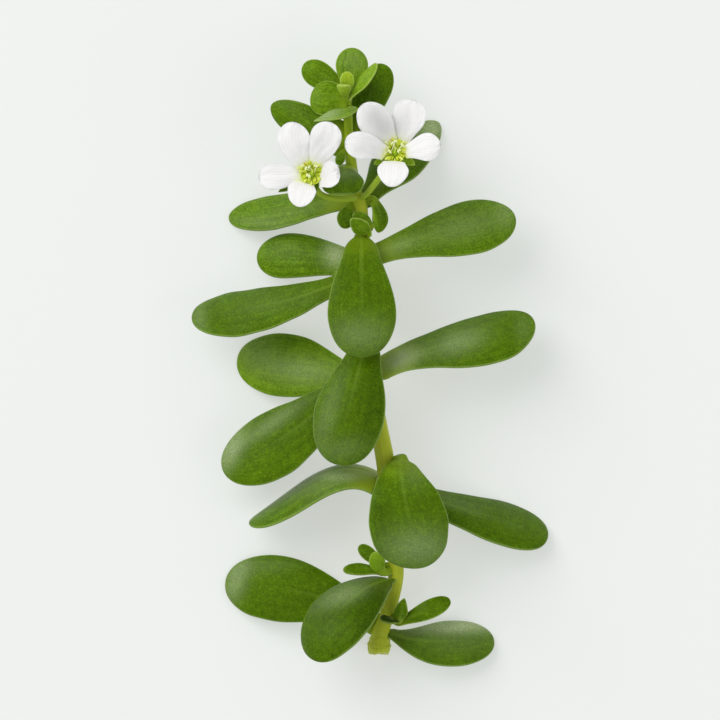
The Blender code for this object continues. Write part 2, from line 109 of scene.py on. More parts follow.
# Large leaves: midrib from base to tip, width, and the way the upper face looks, which is up unless
# given. Straight, from 0 to 1, makes a leaf widen evenly from its neck. A leaf that rests is bent down
# until it touches the surface.
LEAVES = {
    "leaf_bottom_right": dict(
        spine=[(2.8, -33.5, 2.2), (5.5, -34.3, 2.6), (9.4, -34.5, 2.7), (14.9, -34.3, 1.6)],
        width=6.1, face=(0, 0.45, 0.9), neck=0.25, widest=0.56, straight=0.8, rests=True),
    "leaf_bottom_left": dict(
        spine=[(0.5, -32.2, 1.5), (-6.0, -29.05, 3.0), (-11.6, -27.85, 2.6), (-17.5, -27.4, 1.0)],
        width=8.0, face=(0, 0.15, 1), neck=0.36, rests=True),
    "leaf_lower_front": dict(
        spine=[(2.2, -27.0, 5.2), (-1.4, -28.7, 8.2), (-4.4, -31.75, 9.6), (-7.2, -36.2, 9.4)],
        width=8.7, face=(-0.4, 0.4, 0.8), neck=0.26, widest=0.56, straight=0.8, root=0.07, dome=0.06),
    "leaf_middle_left": dict(
        spine=[(0.6, -14.7, 6.4), (-2.4, -13.9, 6.6), (-7.6, -15.65, 5.6), (-14.6, -20.15, 3.4)],
        width=7.4, face=(0.1, 0.91, 0.42), neck=0.85, widest=0.5, tip=1.9, dome=0.12),
    "leaf_middle_right": dict(
        spine=[(3.6, -15.4, 6.2), (9.4, -18.0, 5.6), (15.0, -19.7, 3.6), (21.4, -21.65, 1.0)],
        width=6.9, face=(0.2, 0.62, 0.75), neck=0.42, widest=0.72, rests=True),
    "leaf_middle_front": dict(
        spine=[(3.55, -12.5, 9.2), (4.1, -17.2, 12.2), (4.7, -20.5, 12.5), (5.2, -25.4, 11.6)],
        width=9.5, face=(0, 0.5, 0.8), neck=0.30, widest=0.62, straight=1, root=0.07, dome=0.05),
    "leaf_centre_front": dict(
        spine=[(-0.4, 2.0, 9.9), (-1.5, -2.2, 12.4), (-2.75, -7.2, 13.2), (-3.8, -13.0, 12.3)],
        width=8.7, face=(-0.1, 0.5, 0.8), neck=0.42, widest=0.62, root=0.14, dome=0.07),
    "leaf_centre_right": dict(
        spine=[(1.4, -1.4, 8.3), (4.9, 0.15, 8.3), (12.0, 1.72, 7.3), (19.2, 4.95, 5.2)],
        width=7.8, face=(-0.1, 0.6, 0.75), neck=0.46, widest=0.70, tip=2.0),
    "leaf_centre_left": dict(
        spine=[(-1.5, -2.2, 8.2), (-8.0, -8.0, 8.0), (-12.5, -10.95, 6.8), (-17.9, -12.6, 4.6)],
        width=8.5, face=(-0.2, 0.3, 0.93), widest=0.68),
    "leaf_centre_back": dict(
        spine=[(-0.4, -3.4, 6.7), (-5.0, -1.95, 5.4), (-10.6, -1.0, 2.9), (-16.1, -0.5, 1.0)],
        width=7.7, face=(0, 0.1, 1), widest=0.64, rests=True),
    "leaf_upper_front": dict(
        spine=[(-1.1, 14.3, 9.9), (-1.1, 9.6, 13.2), (-1.05, 5.0, 14.6), (-1.0, -0.1, 14.2)],
        width=8.2, face=(0, 0.6, 0.8), neck=0.46, root=0.14),
    "leaf_upper_right": dict(
        spine=[(0.5, 12.15, 8.5), (5.9, 14.05, 8.6), (11.5, 15.5, 8.1), (17.3, 17.0, 6.8)],
        width=7.4, face=(0, 0.5, 0.87), neck=0.40, widest=0.70, tip=2.0),
    "leaf_upper_left": dict(
        spine=[(-2.3, 9.4, 8.5), (-8.5, 7.0, 8.2), (-15.0, 5.45, 7.0), (-21.4, 5.1, 5.0)],
        width=7.0, face=(0, 0.62, 0.78), neck=0.38, widest=0.70),
    "leaf_upper_back": dict(
        spine=[(-1.6, 10.8, 6.9), (-6.0, 11.9, 5.6), (-9.8, 12.2, 4.0), (-13.6, 12.0, 2.0)],
        width=5.8, face=(0, 0.3, 0.95), neck=0.60, widest=0.68),
    "leaf_top_left": dict(
        spine=[(-2.5, 18.65, 8.4), (-6.2, 18.2, 7.0), (-11.0, 17.55, 4.0), (-17.1, 16.7, 1.0)],
        width=4.8, face=(0, 0.45, 0.9), neck=0.47, widest=0.62, rests=True),
    "leaf_top_right": dict(
        spine=[(-0.45, 19.0, 8.2), (2.1, 22.05, 6.0), (4.9, 25.1, 3.0), (8.3, 28.2, 1.0)],
        width=6.2, face=(-0.2, 0.3, 0.9), neck=0.4, widest=0.47, tip=1.9, rests=True),
    "leaf_top_front": dict(
        spine=[(-2.7, 22.5, 10.0), (-3.25, 21.4, 12.0), (-3.4, 19.35, 12.8)],
        width=5.1, face=(0, 0.8, 0.6), neck=0.50, widest=0.6, tip=3.2),
    "crown_leaf_left": dict(
        spine=[(-3.6, 26.05, 8.9), (-7.0, 27.55, 8.9), (-11.9, 30.2, 7.6)],
        width=4.4, face=(-0.1, -0.2, 1), neck=1.0, widest=0.5, tip=1.9),
    "crown_leaf_right": dict(
        spine=[(-1.8, 26.7, 7.9), (-0.57, 29.93, 7.4), (0.68, 32.73, 6.6), (1.85, 35.05, 6.0)],
        width=4.25, face=(0, 0.2, 1), neck=0.72, widest=0.62),
}

# Small leaves: the crown of the shoot and the side shoots that stand where the leaves meet the stem
SMALL_LEAVES = {
    "crown_leaf_front": dict(
        spine=[(-1.9, 29.65, 11.4), (-3.4, 29.2, 13.2), (-5.0, 28.75, 13.9), (-6.8, 28.15, 13.6)],
        width=2.8, face=(0.1, 0.93, 0.36), neck=0.4, widest=0.5, tip=1.5),
    "crown_leaf_top": dict(
        spine=[(-2.55, 31.7, 9.9), (-2.3, 34.4, 9.8), (-1.9, 37.0, 9.1)],
        width=3.95, face=(0, -0.2, 1), neck=0.45, widest=0.6, tip=2.0),
    "crown_leaf_top_left": dict(
        spine=[(-3.6, 32.0, 9.4), (-5.6, 33.4, 9.0), (-8.1, 35.0, 8.2)],
        width=3.3, neck=0.7, widest=0.62, tip=2.0),
    "crown_leaf_side_left": dict(
        spine=[(-3.35, 30.85, 10.6), (-5.2, 31.0, 10.7), (-7.2, 31.05, 10.0)],
        width=4.4, face=(0, 0.3, 1), neck=0.85, widest=0.5),
    "crown_leaf_side_right": dict(
        spine=[(-2.4, 31.2, 11.5), (-1.3, 32.55, 12.2), (-0.4, 33.7, 12.4), (0.55, 35.1, 11.8)],
        width=2.8, face=(-0.75, 0.5, 0.48), neck=0.5, widest=0.55, tip=1.9),
    "crown_bud_right": dict(
        spine=[(-2.8, 31.7, 11.6), (-2.8, 33.0, 12.2), (-2.9, 34.1, 12.2)],
        width=1.7, face=(0, 0.3, 1), neck=0.5, widest=0.55, dome=-0.10),
    "crown_bud_left": dict(
        spine=[(-2.9, 30.75, 11.8), (-3.15, 31.7, 12.6), (-3.3, 32.5, 13.1)],
        width=1.8, face=(0.2, 0.8, -0.6), neck=0.3, widest=0.82, tip=3.0, dome=-0.12),
    "side_shoot_round_leaf": dict(
        spine=[(-2.4, 18.0, 9.2), (-2.85, 16.9, 9.6), (-2.7, 15.4, 9.2)],
        width=2.3, face=(0, 0.3, 1), neck=0.5, widest=0.55),
    "side_shoot_front_leaf": dict(
        spine=[(-0.3, 14.7, 10.2), (-1.2, 15.45, 11.7), (-2.4, 16.5, 12.5)],
        width=2.1, face=(-0.3, 0.1, 0.95), neck=0.5, widest=0.5, tip=1.6),
    "side_shoot_back_leaf": dict(
        spine=[(0.1, 15.5, 10.0), (-0.8, 16.3, 11.0), (-2.15, 17.05, 11.4)],
        width=1.7, face=(0, 0.2, 1), neck=0.5, widest=0.5),
    "side_shoot_top_leaf": dict(
        spine=[(-3.3, 24.4, 9.8), (-3.6, 23.8, 10.2), (-3.85, 22.95, 10.2)],
        width=1.2, face=(0, 0.2, 1), neck=0.7, widest=0.5),
    "side_shoot_hanging_leaf": dict(
        spine=[(0.35, 18.7, 8.9), (1.15, 16.9, 9.4), (0.9, 14.85, 9.0)],
        width=2.0, face=(0.3, 0.1, 1), neck=0.6, widest=0.62, tip=1.7),
    "bottom_shoot_long_leaf": dict(
        spine=[(3.5, -31.9, 3.6), (5.5, -31.1, 4.6), (7.5, -30.2, 4.9), (9.6, -29.3, 4.6)],
        width=2.4, face=(0, 0.3, 1), neck=0.5, widest=0.62),
    "bottom_shoot_upright_leaf": dict(
        spine=[(3.5, -31.7, 4.3), (3.7, -30.5, 5.2), (4.1, -29.05, 5.4)],
        width=1.75, neck=0.5, widest=0.4, tip=1.4),
    "bottom_shoot_dark_leaf": dict(
        spine=[(3.0, -32.0, 4.2), (2.1, -31.6, 5.2), (1.1, -31.45, 5.4)],
        width=1.6, face=(0, 0.8, 0.6), neck=0.5, widest=0.55),
    "lower_shoot_upper_leaf": dict(
        spine=[(1.4, -25.2, 4.7), (0.2, -24.1, 4.9), (-1.4, -22.8, 4.6)],
        width=1.7, neck=0.6, widest=0.6),
    "lower_shoot_round_leaf": dict(
        spine=[(1.6, -25.9, 5.6), (0.85, -24.8, 6.4), (0.9, -23.45, 6.8)],
        width=2.0, neck=0.5, widest=0.55),
    "lower_shoot_side_leaf": dict(
        spine=[(1.3, -26.0, 5.2), (-0.8, -25.55, 6.0), (-3.3, -25.7, 6.2)],
        width=1.7, face=(0, 0.5, 0.85), neck=0.5, widest=0.6),
}

# How far a petal runs back into the throat
PETAL_REACH = 0.08
# Petals: midrib from the throat to the tip, width, the way the petal looks, how ragged its end is, how
# much whiter its foot is than the others', and where painted shade lies on it, listed as the painted
# highlights below are
PETALS = {
    "left_flower": {
        "upper_left": dict(
            spine=[(-8.05, 23.0, 14.8), (-9.05, 25.3, 15.6), (-9.15, 28.0, 15.6)],
            width=3.85, neck=0.50, tip=2.1, shades=[(-8.4, 25.6, 2.2, 0.9, 110, 0.15)]),
        "upper_right": dict(
            spine=[(-6.45, 23.1, 15.0), (-5.6, 25.4, 15.9), (-4.75, 28.0, 15.9)],
            width=3.75, neck=0.50, shades=[(-6.2, 25.4, 2.2, 0.9, 75, 0.25)]),
        "left": dict(
            spine=[(-8.4, 21.75, 14.3), (-10.9, 21.55, 14.6), (-13.4, 21.45, 14.6)],
            width=3.3, neck=0.50, ragged=1.3),
        "bottom": dict(
            spine=[(-7.9, 20.75, 14.8), (-8.25, 19.5, 16.2), (-8.4, 17.8, 16.8)],
            width=3.45, face=(0, 0.3, 1), neck=0.7, widest=0.45, tip=2.0),
        "right": dict(
            spine=[(-6.06, 20.8, 14.9), (-4.9, 21.6, 16.3), (-3.67, 22.35, 17.05)],
            width=3.3, face=(-0.45, 0.25, 0.85), neck=0.42, widest=0.68, tip=2.2, reach=0.04,
            ragged=4.0, white_foot=0.12, shades=[(-4.6, 22.3, 2.0, 2.0, 0, 0.22)]),
    },
    "right_flower": {
        "upper_left": dict(
            spine=[(2.25, 25.75, 15.0), (0.75, 27.8, 16.0), (-1.05, 30.1, 16.2)],
            width=4.0, neck=0.5, widest=0.55, tip=2.2, shades=[(1.0, 28.0, 2.3, 1.3, 125, 0.8)]),
        "upper_right": dict(
            spine=[(3.6, 25.8, 14.5), (4.4, 28.1, 15.1), (5.1, 30.65, 15.1)],
            width=4.1, neck=0.50, widest=0.68, tip=2.3, shades=[(3.6, 27.4, 2.2, 0.9, 70, 0.4)]),
        "left": dict(
            spine=[(1.55, 24.35, 15.4), (-0.6, 25.1, 16.7), (-3.1, 25.35, 17.1)],
            width=3.3, neck=0.55, ragged=1.3, shades=[(-0.4, 24.6, 1.9, 0.8, 0, 0.25)]),
        "right": dict(
            spine=[(4.25, 24.4, 15.0), (6.35, 24.95, 16.0), (8.4, 25.15, 16.2)],
            width=3.3, neck=0.45),
        "bottom": dict(
            spine=[(2.8, 23.3, 15.4), (2.65, 22.0, 16.8), (2.4, 20.2, 17.2)],
            width=3.75, face=(0, 0.3, 1), neck=0.7, widest=0.42, tip=1.95, reach=0.0),
    },
}

# Flowers: middle of the throat, the way the flower looks, the turn of its longest sepal, the reach of
# that sepal and the reach of the other four
FLOWERS = {
    "left_flower": dict(centre=(-7.0, 21.9, 14.2), look=(0, 0.1, 1), turn=208, longest=4.6, reach=2.4),
    "right_flower": dict(centre=(2.9, 24.5, 14.2), look=(0, 0.1, 1), turn=-18, longest=2.9, reach=2.9),
}
FLOWER_STALKS = {
    "left_flower_stalk": [(-2.2, 18.9, 9.7), (-4.2, 18.9, 10.6), (-6.0, 19.5, 11.2), (-6.9, 21.0, 12.0)],
    "right_flower_stalk": [(-0.7, 19.3, 9.5), (0.2, 20.3, 10.4), (1.5, 22.0, 11.4), (2.6, 23.6, 12.0)],
}
STALK_RADIUS = 0.36

# Feet that lead each leaf back into the stem: where they end, as a share of the stem's radius, how far
# they are moved along the stem, how much they bend, and how broad they are beside the stem's radius
FOOT_DEPTH = 0.35
FOOT_DEPTHS = {"leaf_lower_front": 0.9}
FOOT_SHIFTS = {"leaf_middle_front": -0.3}
FOOT_BEND = 0.6
FOOT_BENDS = {"leaf_middle_front": 0.1}
FOOT_BREADTH = 2.6
FOOT_BREADTHS = {
    "leaf_middle_left": 4.4, "crown_leaf_side_left": 7.0, "crown_leaf_left": 6.0, "crown_leaf_right": 4.0,
    "leaf_bottom_right": 0.8, "crown_leaf_top_left": 5.0, "leaf_middle_front": 1.8, "leaf_upper_front": 2.0,
    "leaf_centre_front": 2.0, "leaf_lower_front": 1.6,
}
# No foot is broader than this share of its leaf's neck
FOOT_LIMIT = 0.9

# Relief of a leaf: waves of its edge, beside its half-width; waves of its face and depth of its midrib's
# groove, beside its thickness; and breadth of that groove, beside its width
LEAF_EDGE_WAVES = 0.012
LEAF_FACE_WAVES = 0.05
RIB_DEPTH = 0.06
RIB_BREADTH = 0.05

# Notch and waves in a petal's end, as shares of its length, and waves of its edge beside its half-width
NOTCH = 0.035
END_WAVES = 0.012
FINE_END_WAVES = 0.006
TEARS = 0.04
PETAL_EDGE_WAVES = 0.02
# Relief of a petal's face: pleats, swellings, and the crinkle of its edge
PLEATS = 0.020
SWELLINGS = 0.13
CRINKLE = 0.06

# Stem: how far its joints and old leaf scars lie from the cut end, and its relief beside its radius
STEM_JOINTS = (2.3, 9.7, 21.8, 34.8, 47.2, 53.8)
STEM_SCARS = (1.9, 4.0)
JOINT_SWELLING = 0.06
SCAR_RELIEF = 0.035
CUT_NARROWING = 0.16
SHRED_LENGTH = 0.3

# Throat: from its foot up to its rim and back down inside, the share of the way, the radius and the
# level above the flower's middle
THROAT_PROFILE = [
    (0.0, 0.0, -1.45), (0.06, 0.42, -1.42), (0.14, 0.55, -1.00), (0.24, 0.82, -0.50), (0.34, 1.12, 0.00),
    (0.48, 1.40, 0.72), (0.52, 1.38, 0.80),
    (0.56, 1.26, 0.76), (0.72, 0.90, 0.50), (0.88, 0.45, 0.30), (1.0, 0.0, 0.24),
]
# In the throat: ovary, style, glands in an outer and an inner ring, stamens and specks. Places and half
# sizes are seen from the flower's middle.
OVARY_PLACE = (0, -0.2, 0.62)
OVARY_SIZE = (0.30, 0.43, 0.66)
STYLE_ROUTE = [(0, -0.2, 1.0), (0.05, 0.05, 1.4), (0.0, 0.25, 1.6)]
STYLE_RADIUS = 0.07
GLANDS = 24
OUTER_RING = (1.05, 1.30)
INNER_RING = (0.72, 1.05)
GLAND_LENGTHS = (0.30, 0.48)
GLAND_BREADTHS = (0.10, 0.16)
FILAMENT_RADIUS = 0.065
FILAMENT_LEVELS = (0.7, 1.25, 1.5)
ANTHER_SIZE = (0.10, 0.13, 0.10)
ANTHER_GAP = 0.10
SPECK_LEVEL = 1.12
SPECK_SIZE = (0.12, 0.09, 0.08)
# Stamens: place of the anther and of the foot of its filament, and its size
STAMENS = {
    "left_flower": [
        (-0.43, -0.45, -0.2, -0.15, 1.5), (-0.72, 0.42, -0.2, 0.2, 1.1), (-0.35, 0.60, 0.0, 0.3, 1.0),
        (0.47, 0.71, 0.35, 0.1, 1.2), (-1.15, 0.75, -0.7, 0.5, 0.9),
    ],
    "right_flower": [
        (-0.30, 0.84, 0.21, 0.23, 1.1), (0.08, 1.09, -0.30, 0.13, 1.1), (-0.60, -0.17, -0.3, 0.1, 1.3),
        (0.51, -0.07, 0.3, 0.15, 1.3), (0.91, 0.63, 0.5, 0.2, 1.3), (-1.0, 0.99, -0.6, 0.5, 0.8),
        (-1.15, -0.32, -0.7, -0.1, 0.8),
    ],
}
SPECKS = {
    "left_flower": [(-0.7, 1.0), (-0.5, 0.9), (-0.9, 1.1)],
    "right_flower": [(-0.4, 1.3), (-0.55, 1.05), (-0.2, 1.35)],
}

# Cup and sepals: how far the cup lies under the throat, the levels of a sepal's middle and tip, and how
# far each sepal is turned, in degrees, from its even place
CUP_LEVEL = -1.35
CUP_SIZE = (0.8, 0.8, 0.5)
SEPALS = 5
SEPAL_WIDTH = 1.6
SEPAL_THICKNESS = 0.4
SEPAL_MIDDLE_LEVEL = -1.2
SEPAL_TIP_LEVEL = -0.9
SEPAL_SHIFTS = {"left_flower": (0, 0, 0, 0, 0), "right_flower": (-14, -6, 0, 12, 4)}

# Looks of the leaves. Tone runs from 0, dark, to 1, light. Besides each leaf's own green it holds painted
# light and painted shade: leaves, buds and sepals that lie in shadow are made lighter, and the dark leaf by
# the foot of the stem is darkened as painted shade.
DEFAULT_TONE = 0.42
TONES = {
    "leaf_bottom_right": 0.42, "leaf_lower_front": 0.29, "leaf_middle_left": 0.46, "leaf_middle_right": 0.38,
    "leaf_middle_front": 0.43, "leaf_centre_front": 0.40, "leaf_centre_right": 0.44, "leaf_centre_back": 0.78,
    "leaf_upper_left": 0.43, "leaf_upper_right": 0.54, "leaf_upper_back": 0.56, "leaf_top_left": 0.62,
    "leaf_top_right": 0.36, "leaf_top_front": 0.54, "crown_leaf_left": 0.55, "crown_leaf_right": 0.47,
    "crown_leaf_front": 0.85, "crown_leaf_top": 0.74, "crown_leaf_top_left": 0.62,
    "crown_leaf_side_left": 0.70, "crown_leaf_side_right": 1.00, "crown_bud_right": 1.40,
    "crown_bud_left": 1.30,
    "right_flower_sepal_0": 1.1, "right_flower_sepal_3": 1.1, "left_flower_sepal_4": 0.9,
    "side_shoot_round_leaf": 0.58, "side_shoot_front_leaf": 0.70, "side_shoot_back_leaf": 0.6,
    "side_shoot_hanging_leaf": 0.55, "side_shoot_top_leaf": 0.60, "bottom_shoot_long_leaf": 0.50,
    "bottom_shoot_upright_leaf": 0.46, "bottom_shoot_dark_leaf": -0.15, "lower_shoot_upper_leaf": 0.5,
    "lower_shoot_round_leaf": 0.92, "lower_shoot_side_leaf": 0.5,
}
# How pale a leaf's base is: its own paler green, raised as painted light on bases that lie in shadow
DEFAULT_PALENESS = 0.45
PALENESS = {
    "leaf_lower_front": 0.12, "leaf_bottom_right": 0.1, "leaf_bottom_left": 0.8, "leaf_middle_left": 1.0,
    "leaf_middle_front": 0.3, "leaf_centre_right": 0.9, "leaf_centre_front": 0.25, "leaf_upper_left": 0.2,
    "leaf_upper_front": 0.35, "leaf_top_left": 1.0, "leaf_top_right": 0.1, "leaf_top_front": 0.9,
    "bottom_shoot_dark_leaf": 0.0, "crown_leaf_front": 0.3, "crown_leaf_side_left": 0.3,
    "crown_bud_left": 0.8, "crown_bud_right": 0.4,
}
# How strong a leaf's painted rim light is, where it isn't 1
RIM_LIGHTS = {
    "crown_bud_right": 2.0, "crown_bud_left": 2.2, "crown_leaf_side_right": 1.3, "leaf_top_front": 1.4,
    "side_shoot_front_leaf": 1.6, "crown_leaf_front": 1.3,
}
# How strongly fine streaks run along a leaf
DEFAULT_STREAKS = 0.25
STREAKS = {
    "crown_leaf_front": 1.3, "crown_leaf_side_right": 1.1, "crown_leaf_right": 0.4, "crown_leaf_left": 0.4,
    "crown_leaf_top": 0.55, "crown_leaf_top_left": 0.5, "crown_leaf_side_left": 0.6, "crown_bud_right": 0.9,
    "crown_bud_left": 0.9, "leaf_top_left": 0.5, "leaf_middle_left": 0.45, "side_shoot_hanging_leaf": 0.8,
    "side_shoot_front_leaf": 0.7, "leaf_centre_back": 0.35, "leaf_upper_back": 0.4,
}
# Painted shade: where a leaf is darker seen from above, listed as the painted highlights below, and how
# much the tone falls. A strength below 0 lifts the tone: painted light against cast shadow, and in a few
# places a paler patch of the leaf.
PAINTED_SHADE_LIGHT_AND_PALE_SPOTS = {
    "leaf_lower_front": [(0.4, -30.2, 3.4, 1.3, 62, 0.30)],
    "leaf_centre_front": [(0.5, -5.5, 5.0, 1.5, 78, 0.26)],
    "leaf_top_right": [(1.6, 20.0, 1.5, 1.5, 0, 0.20)],
    "leaf_middle_front": [(1.2, -19.5, 0.9, 3.0, 0, 0.16), (3.6, -12.1, 1.2, 0.5, 0, -0.5),
                          (2.3, -13.6, 0.9, 0.8, 0, -0.4)],
    "leaf_bottom_left": [(0.2, -32.0, 1.2, 1.0, 0, -0.9)],
    "side_shoot_hanging_leaf": [(0.35, 16.9, 0.28, 1.8, 8, -0.6), (1.45, 17.0, 0.35, 1.2, 20, 0.25)],
    "leaf_top_front": [(-1.9, 21.6, 1.2, 1.6, 0, 0.22)],
    "leaf_centre_right": [(3.2, -0.5, 2.4, 1.4, 20, -0.5)],
    "leaf_bottom_right": [(4.0, -33.6, 1.6, 1.2, 0, 0.22)],
    "leaf_middle_left": [(-8.0, -19.4, 7.0, 0.5, 32, 0.15)],
    "crown_leaf_right": [(-0.6, 31.3, 1.6, 1.3, 40, 0.30)],
}

# Where the painted highlight lies, seen from above: middle, half length and half breadth in millimetres,
# turn in degrees, strength
PAINTED_HIGHLIGHTS = {
    "leaf_bottom_right": [(9.5, -32.3, 5.5, 0.8, 0, 2.2), (10.5, -34, 4.5, 1.6, 0, 0.22)],
    "leaf_bottom_left": [(-16.3, -27.0, 1.1, 2.6, -20, 0.8), (-12.5, -25.2, 3.5, 0.8, 5, 0.2)],
    "leaf_lower_front": [(-3.2, -28.6, 2.6, 0.9, 22, 0.75)],
    "leaf_middle_left": [(-3.4, -14.4, 2.6, 0.5, 0, 0.8), (-9.8, -16.1, 3.6, 0.45, 30, 0.5),
                         (-6.0, -15.6, 3.6, 0.9, 16, 0.3)],
    "leaf_middle_right": [(9.0, -17.2, 4.0, 0.6, -18, 0.25)],
    "leaf_middle_front": [(5.6, -22.9, 3.4, 1.9, 0, 0.60), (5.2, -14.0, 1.2, 1.6, 20, 0.2)],
    "leaf_centre_front": [(-5.2, -7.2, 1.0, 3.4, -18, 0.35), (-3.6, -11.2, 2.6, 1.2, 10, 0.25)],
    "leaf_centre_right": [(3.5, -0.3, 2.0, 1.0, 22, 2.0), (10.3, 1.7, 2.7, 1.2, 16, 0.75),
                          (18.4, 3.4, 0.9, 1.6, 0, 0.2)],
    "leaf_centre_left": [(-16.8, -11.2, 1.0, 2.6, -25, 1.0), (-12.0, -8.1, 3.6, 0.7, 35, 0.5)],
    "leaf_centre_back": [(-8.6, -1.6, 4.0, 1.4, -8, 0.65), (-13.5, 0.6, 1.8, 1.6, 0, 0.35)],
    "leaf_upper_front": [(-1.4, 2.6, 3.2, 1.7, 0, 0.42)],
    "leaf_upper_left": [(-20.6, 4.6, 0.8, 1.9, 0, 0.35), (-12.0, 6.2, 5.0, 1.0, 8, 0.12)],
    "leaf_upper_back": [(-4.1, 12.3, 1.2, 1.2, 0, 1.6), (-10.5, 13.2, 2.6, 1.0, 0, 0.12)],
    "leaf_upper_right": [(3.2, 13.2, 2.0, 0.8, 20, 0.45), (11.0, 15.6, 4.5, 1.4, 14, 0.35),
                         (16.2, 17.3, 1.0, 1.5, 0, 0.3)],
    "leaf_top_left": [(-12.8, 16.0, 3.5, 0.7, -4, 0.35), (-9.0, 17.4, 3.0, 0.8, 8, 0.2)],
    "leaf_top_right": [(7.4, 27.5, 1.6, 1.4, 45, 1.5), (1.9, 22.2, 0.5, 1.6, -30, 0.4)],
    "leaf_top_front": [(-3.4, 22.0, 1.6, 0.8, 0, 0.5)],
    "crown_leaf_left": [(-9.5, 29.9, 3.0, 0.8, -30, 0.08)],
    "crown_leaf_front": [(-5.2, 28.9, 1.7, 0.7, 22, 1.0)],
    "crown_leaf_top": [(-2.2, 35.6, 1.4, 1.2, 0, 0.3)],
}

# Colours, as shares of red, green and blue in linear light
LEAF_DARK = (0.036, 0.074, 0.001)
LEAF_MID = (0.086, 0.172, 0.001)
LEAF_LIGHT = (0.200, 0.350, 0.011)
LEAF_BRIGHT = (0.350, 0.480, 0.024)
LEAF_RIB = (0.200, 0.320, 0.030)
# Painted rim light of grown leaves
LEAF_RIM_LIGHT = (0.300, 0.420, 0.100)
LEAF_BASE = (0.320, 0.430, 0.018)
# Painted highlight
LEAF_PAINTED_HIGHLIGHT = (0.430, 0.510, 0.270)
# Painted rim light of young leaves
YOUNG_RIM_LIGHT = (0.450, 0.580, 0.120)
STEM_GREEN = (0.345, 0.415, 0.008)
STEM_PALE = (0.560, 0.600, 0.050)
STEM_YOUNG = (0.240, 0.420, 0.003)
STEM_CUT = (0.560, 0.570, 0.200)
STALK_GREEN = (0.280, 0.400, 0.016)
STALK_PALE = (0.450, 0.580, 0.055)
PETAL_WHITE = (0.900, 0.868, 0.876)
PETAL_VEIN = (0.600, 0.585, 0.640)
PETAL_SHADE = (0.560, 0.555, 0.545)
THROAT = (0.780, 0.850, 0.085)
THROAT_DEEP = (0.440, 0.550, 0.015)
THROAT_PALE = (0.800, 0.860, 0.260)
PETAL_FOOT = (0.780, 0.840, 0.420)
OVARY = (0.160, 0.380, 0.008)
ANTHER = (0.900, 0.910, 0.720)
SPECK = (0.550, 0.330, 0.120)
FLOOR_COLOUR = (0.40, 0.408, 0.398)
SKY = (0.95, 1.0, 0.97)

# Leaf skin: sizes of its grain, cells and blotches, and the gap between its side veins
LEAF_GRAIN = 0.21
LEAF_CELLS = 0.24
SMALL_BLOTCHES = 0.8
LARGE_BLOTCHES = 3.2
VEIN_GAP = 0.55

# Floor, light and camera, in metres but for the sensor. Glossy skins mirror a light unless it says not.
FLOOR_HALF_WIDTH = 6
FLOOR_GLOW = 1.15
SKY_STRENGTH = 0.55
LIGHT_AIM = (0, 0, 0.008)
LIGHTS = {
    "key_light": dict(place=(-0.65, 0.60, 1.05), size=0.9, power=9.5, glossy=False),
    "glint_light": dict(place=(-1.0, 0.85, 0.62), size=0.45, power=3),
    "fill_light": dict(place=(0.9, -0.5, 0.9), size=0.9, power=3, glossy=False),
}
CAMERA_HEIGHT = 1.5
SENSOR_WIDTH = 36
PICTURE_MIDDLE = (-0.00126, -0.00042)
PICTURE_WIDTH = 0.0864
PLANT_MIDDLE_HEIGHT = 0.0085


# Shapes

def smooth_path(points):
    """A curve through the points, as a function of shares of its length, with its directions."""
    points = np.array(points, float)
    chords = np.linalg.norm(np.diff(points, axis=0), axis=1)
    knots = np.concatenate([[0], np.cumsum(chords)]) / chords.sum()
    powers = np.arange(len(points))
    factors = np.linalg.solve(knots[:, None] ** powers, points)

    def place(shares):
        return shares[:, None] ** powers @ factors

    def direction(shares):
        slope = powers[1:] * shares[:, None] ** powers[:-1] @ factors[1:]
        return slope / np.linalg.norm(slope, axis=1, keepdims=True)

    return place, direction, chords.sum()


def blade_outline(shares, neck, widest, tip, root, straight=0):
    """Half-widths of a blade at shares of its length, beside its widest place."""
    rise = np.sin(np.pi / 2 * np.clip(shares / widest, 0, 1))
    swell = neck + (1 - neck) * rise ** (2 - straight)
    beyond = np.clip((shares - widest) / (1 - widest), 0, 1)
    width = np.where(shares < widest, swell, (1 - beyond ** tip) ** (1 / tip))
    rounding = np.clip(shares / root, 0, 1)
    return width * np.sqrt(1 - (1 - rounding) ** 2)


def smoothstep(values, low, high):
    """Rises smoothly from 0 at low to 1 at high."""
    share = np.clip((values - low) / (high - low), 0, 1)
    return share * share * (3 - 2 * share)


def ripple(places, wavelength, seed):
    """Gentle waves over the places, between about -1 and 1."""
    draw = np.random.default_rng(seed)
    total = np.zeros(len(places))
    for _ in range(5):
        way = draw.normal(size=3)
        way *= 2 * np.pi / wavelength * draw.uniform(0.7, 1.5) / np.linalg.norm(way)
        total += np.sin(places @ way + draw.uniform(0, 2 * np.pi))
    return total / 3


def seed_of(name):
    """A piece's own start for its random draws, the same in each run."""
    return sum(map(ord, name))


def put_in_scene(name, data):
    made = bpy.data.objects.new(name, data)
    bpy.context.scene.collection.objects.link(made)
    return made


def plain_mesh(name, create, **sizes):
    """A mesh of one plain shape."""
    shape = bmesh.new()
    create(shape, **sizes)
    mesh = bpy.data.meshes.new(name)
    shape.to_mesh(mesh)
    shape.free()
    return mesh


def drawn_out_sphere(name, around, along):
    """A sphere's mesh, with each vertex's height from -1 to 1 and its angle round."""
    mesh = plain_mesh(name, bmesh.ops.create_uvsphere, u_segments=around, v_segments=along, radius=1)
    places = np.empty(len(mesh.vertices) * 3)
    mesh.vertices.foreach_get("co", places)
    x, y, z = places.reshape(-1, 3).T
    return mesh, np.clip(z, -1, 1), np.arctan2(y, x)


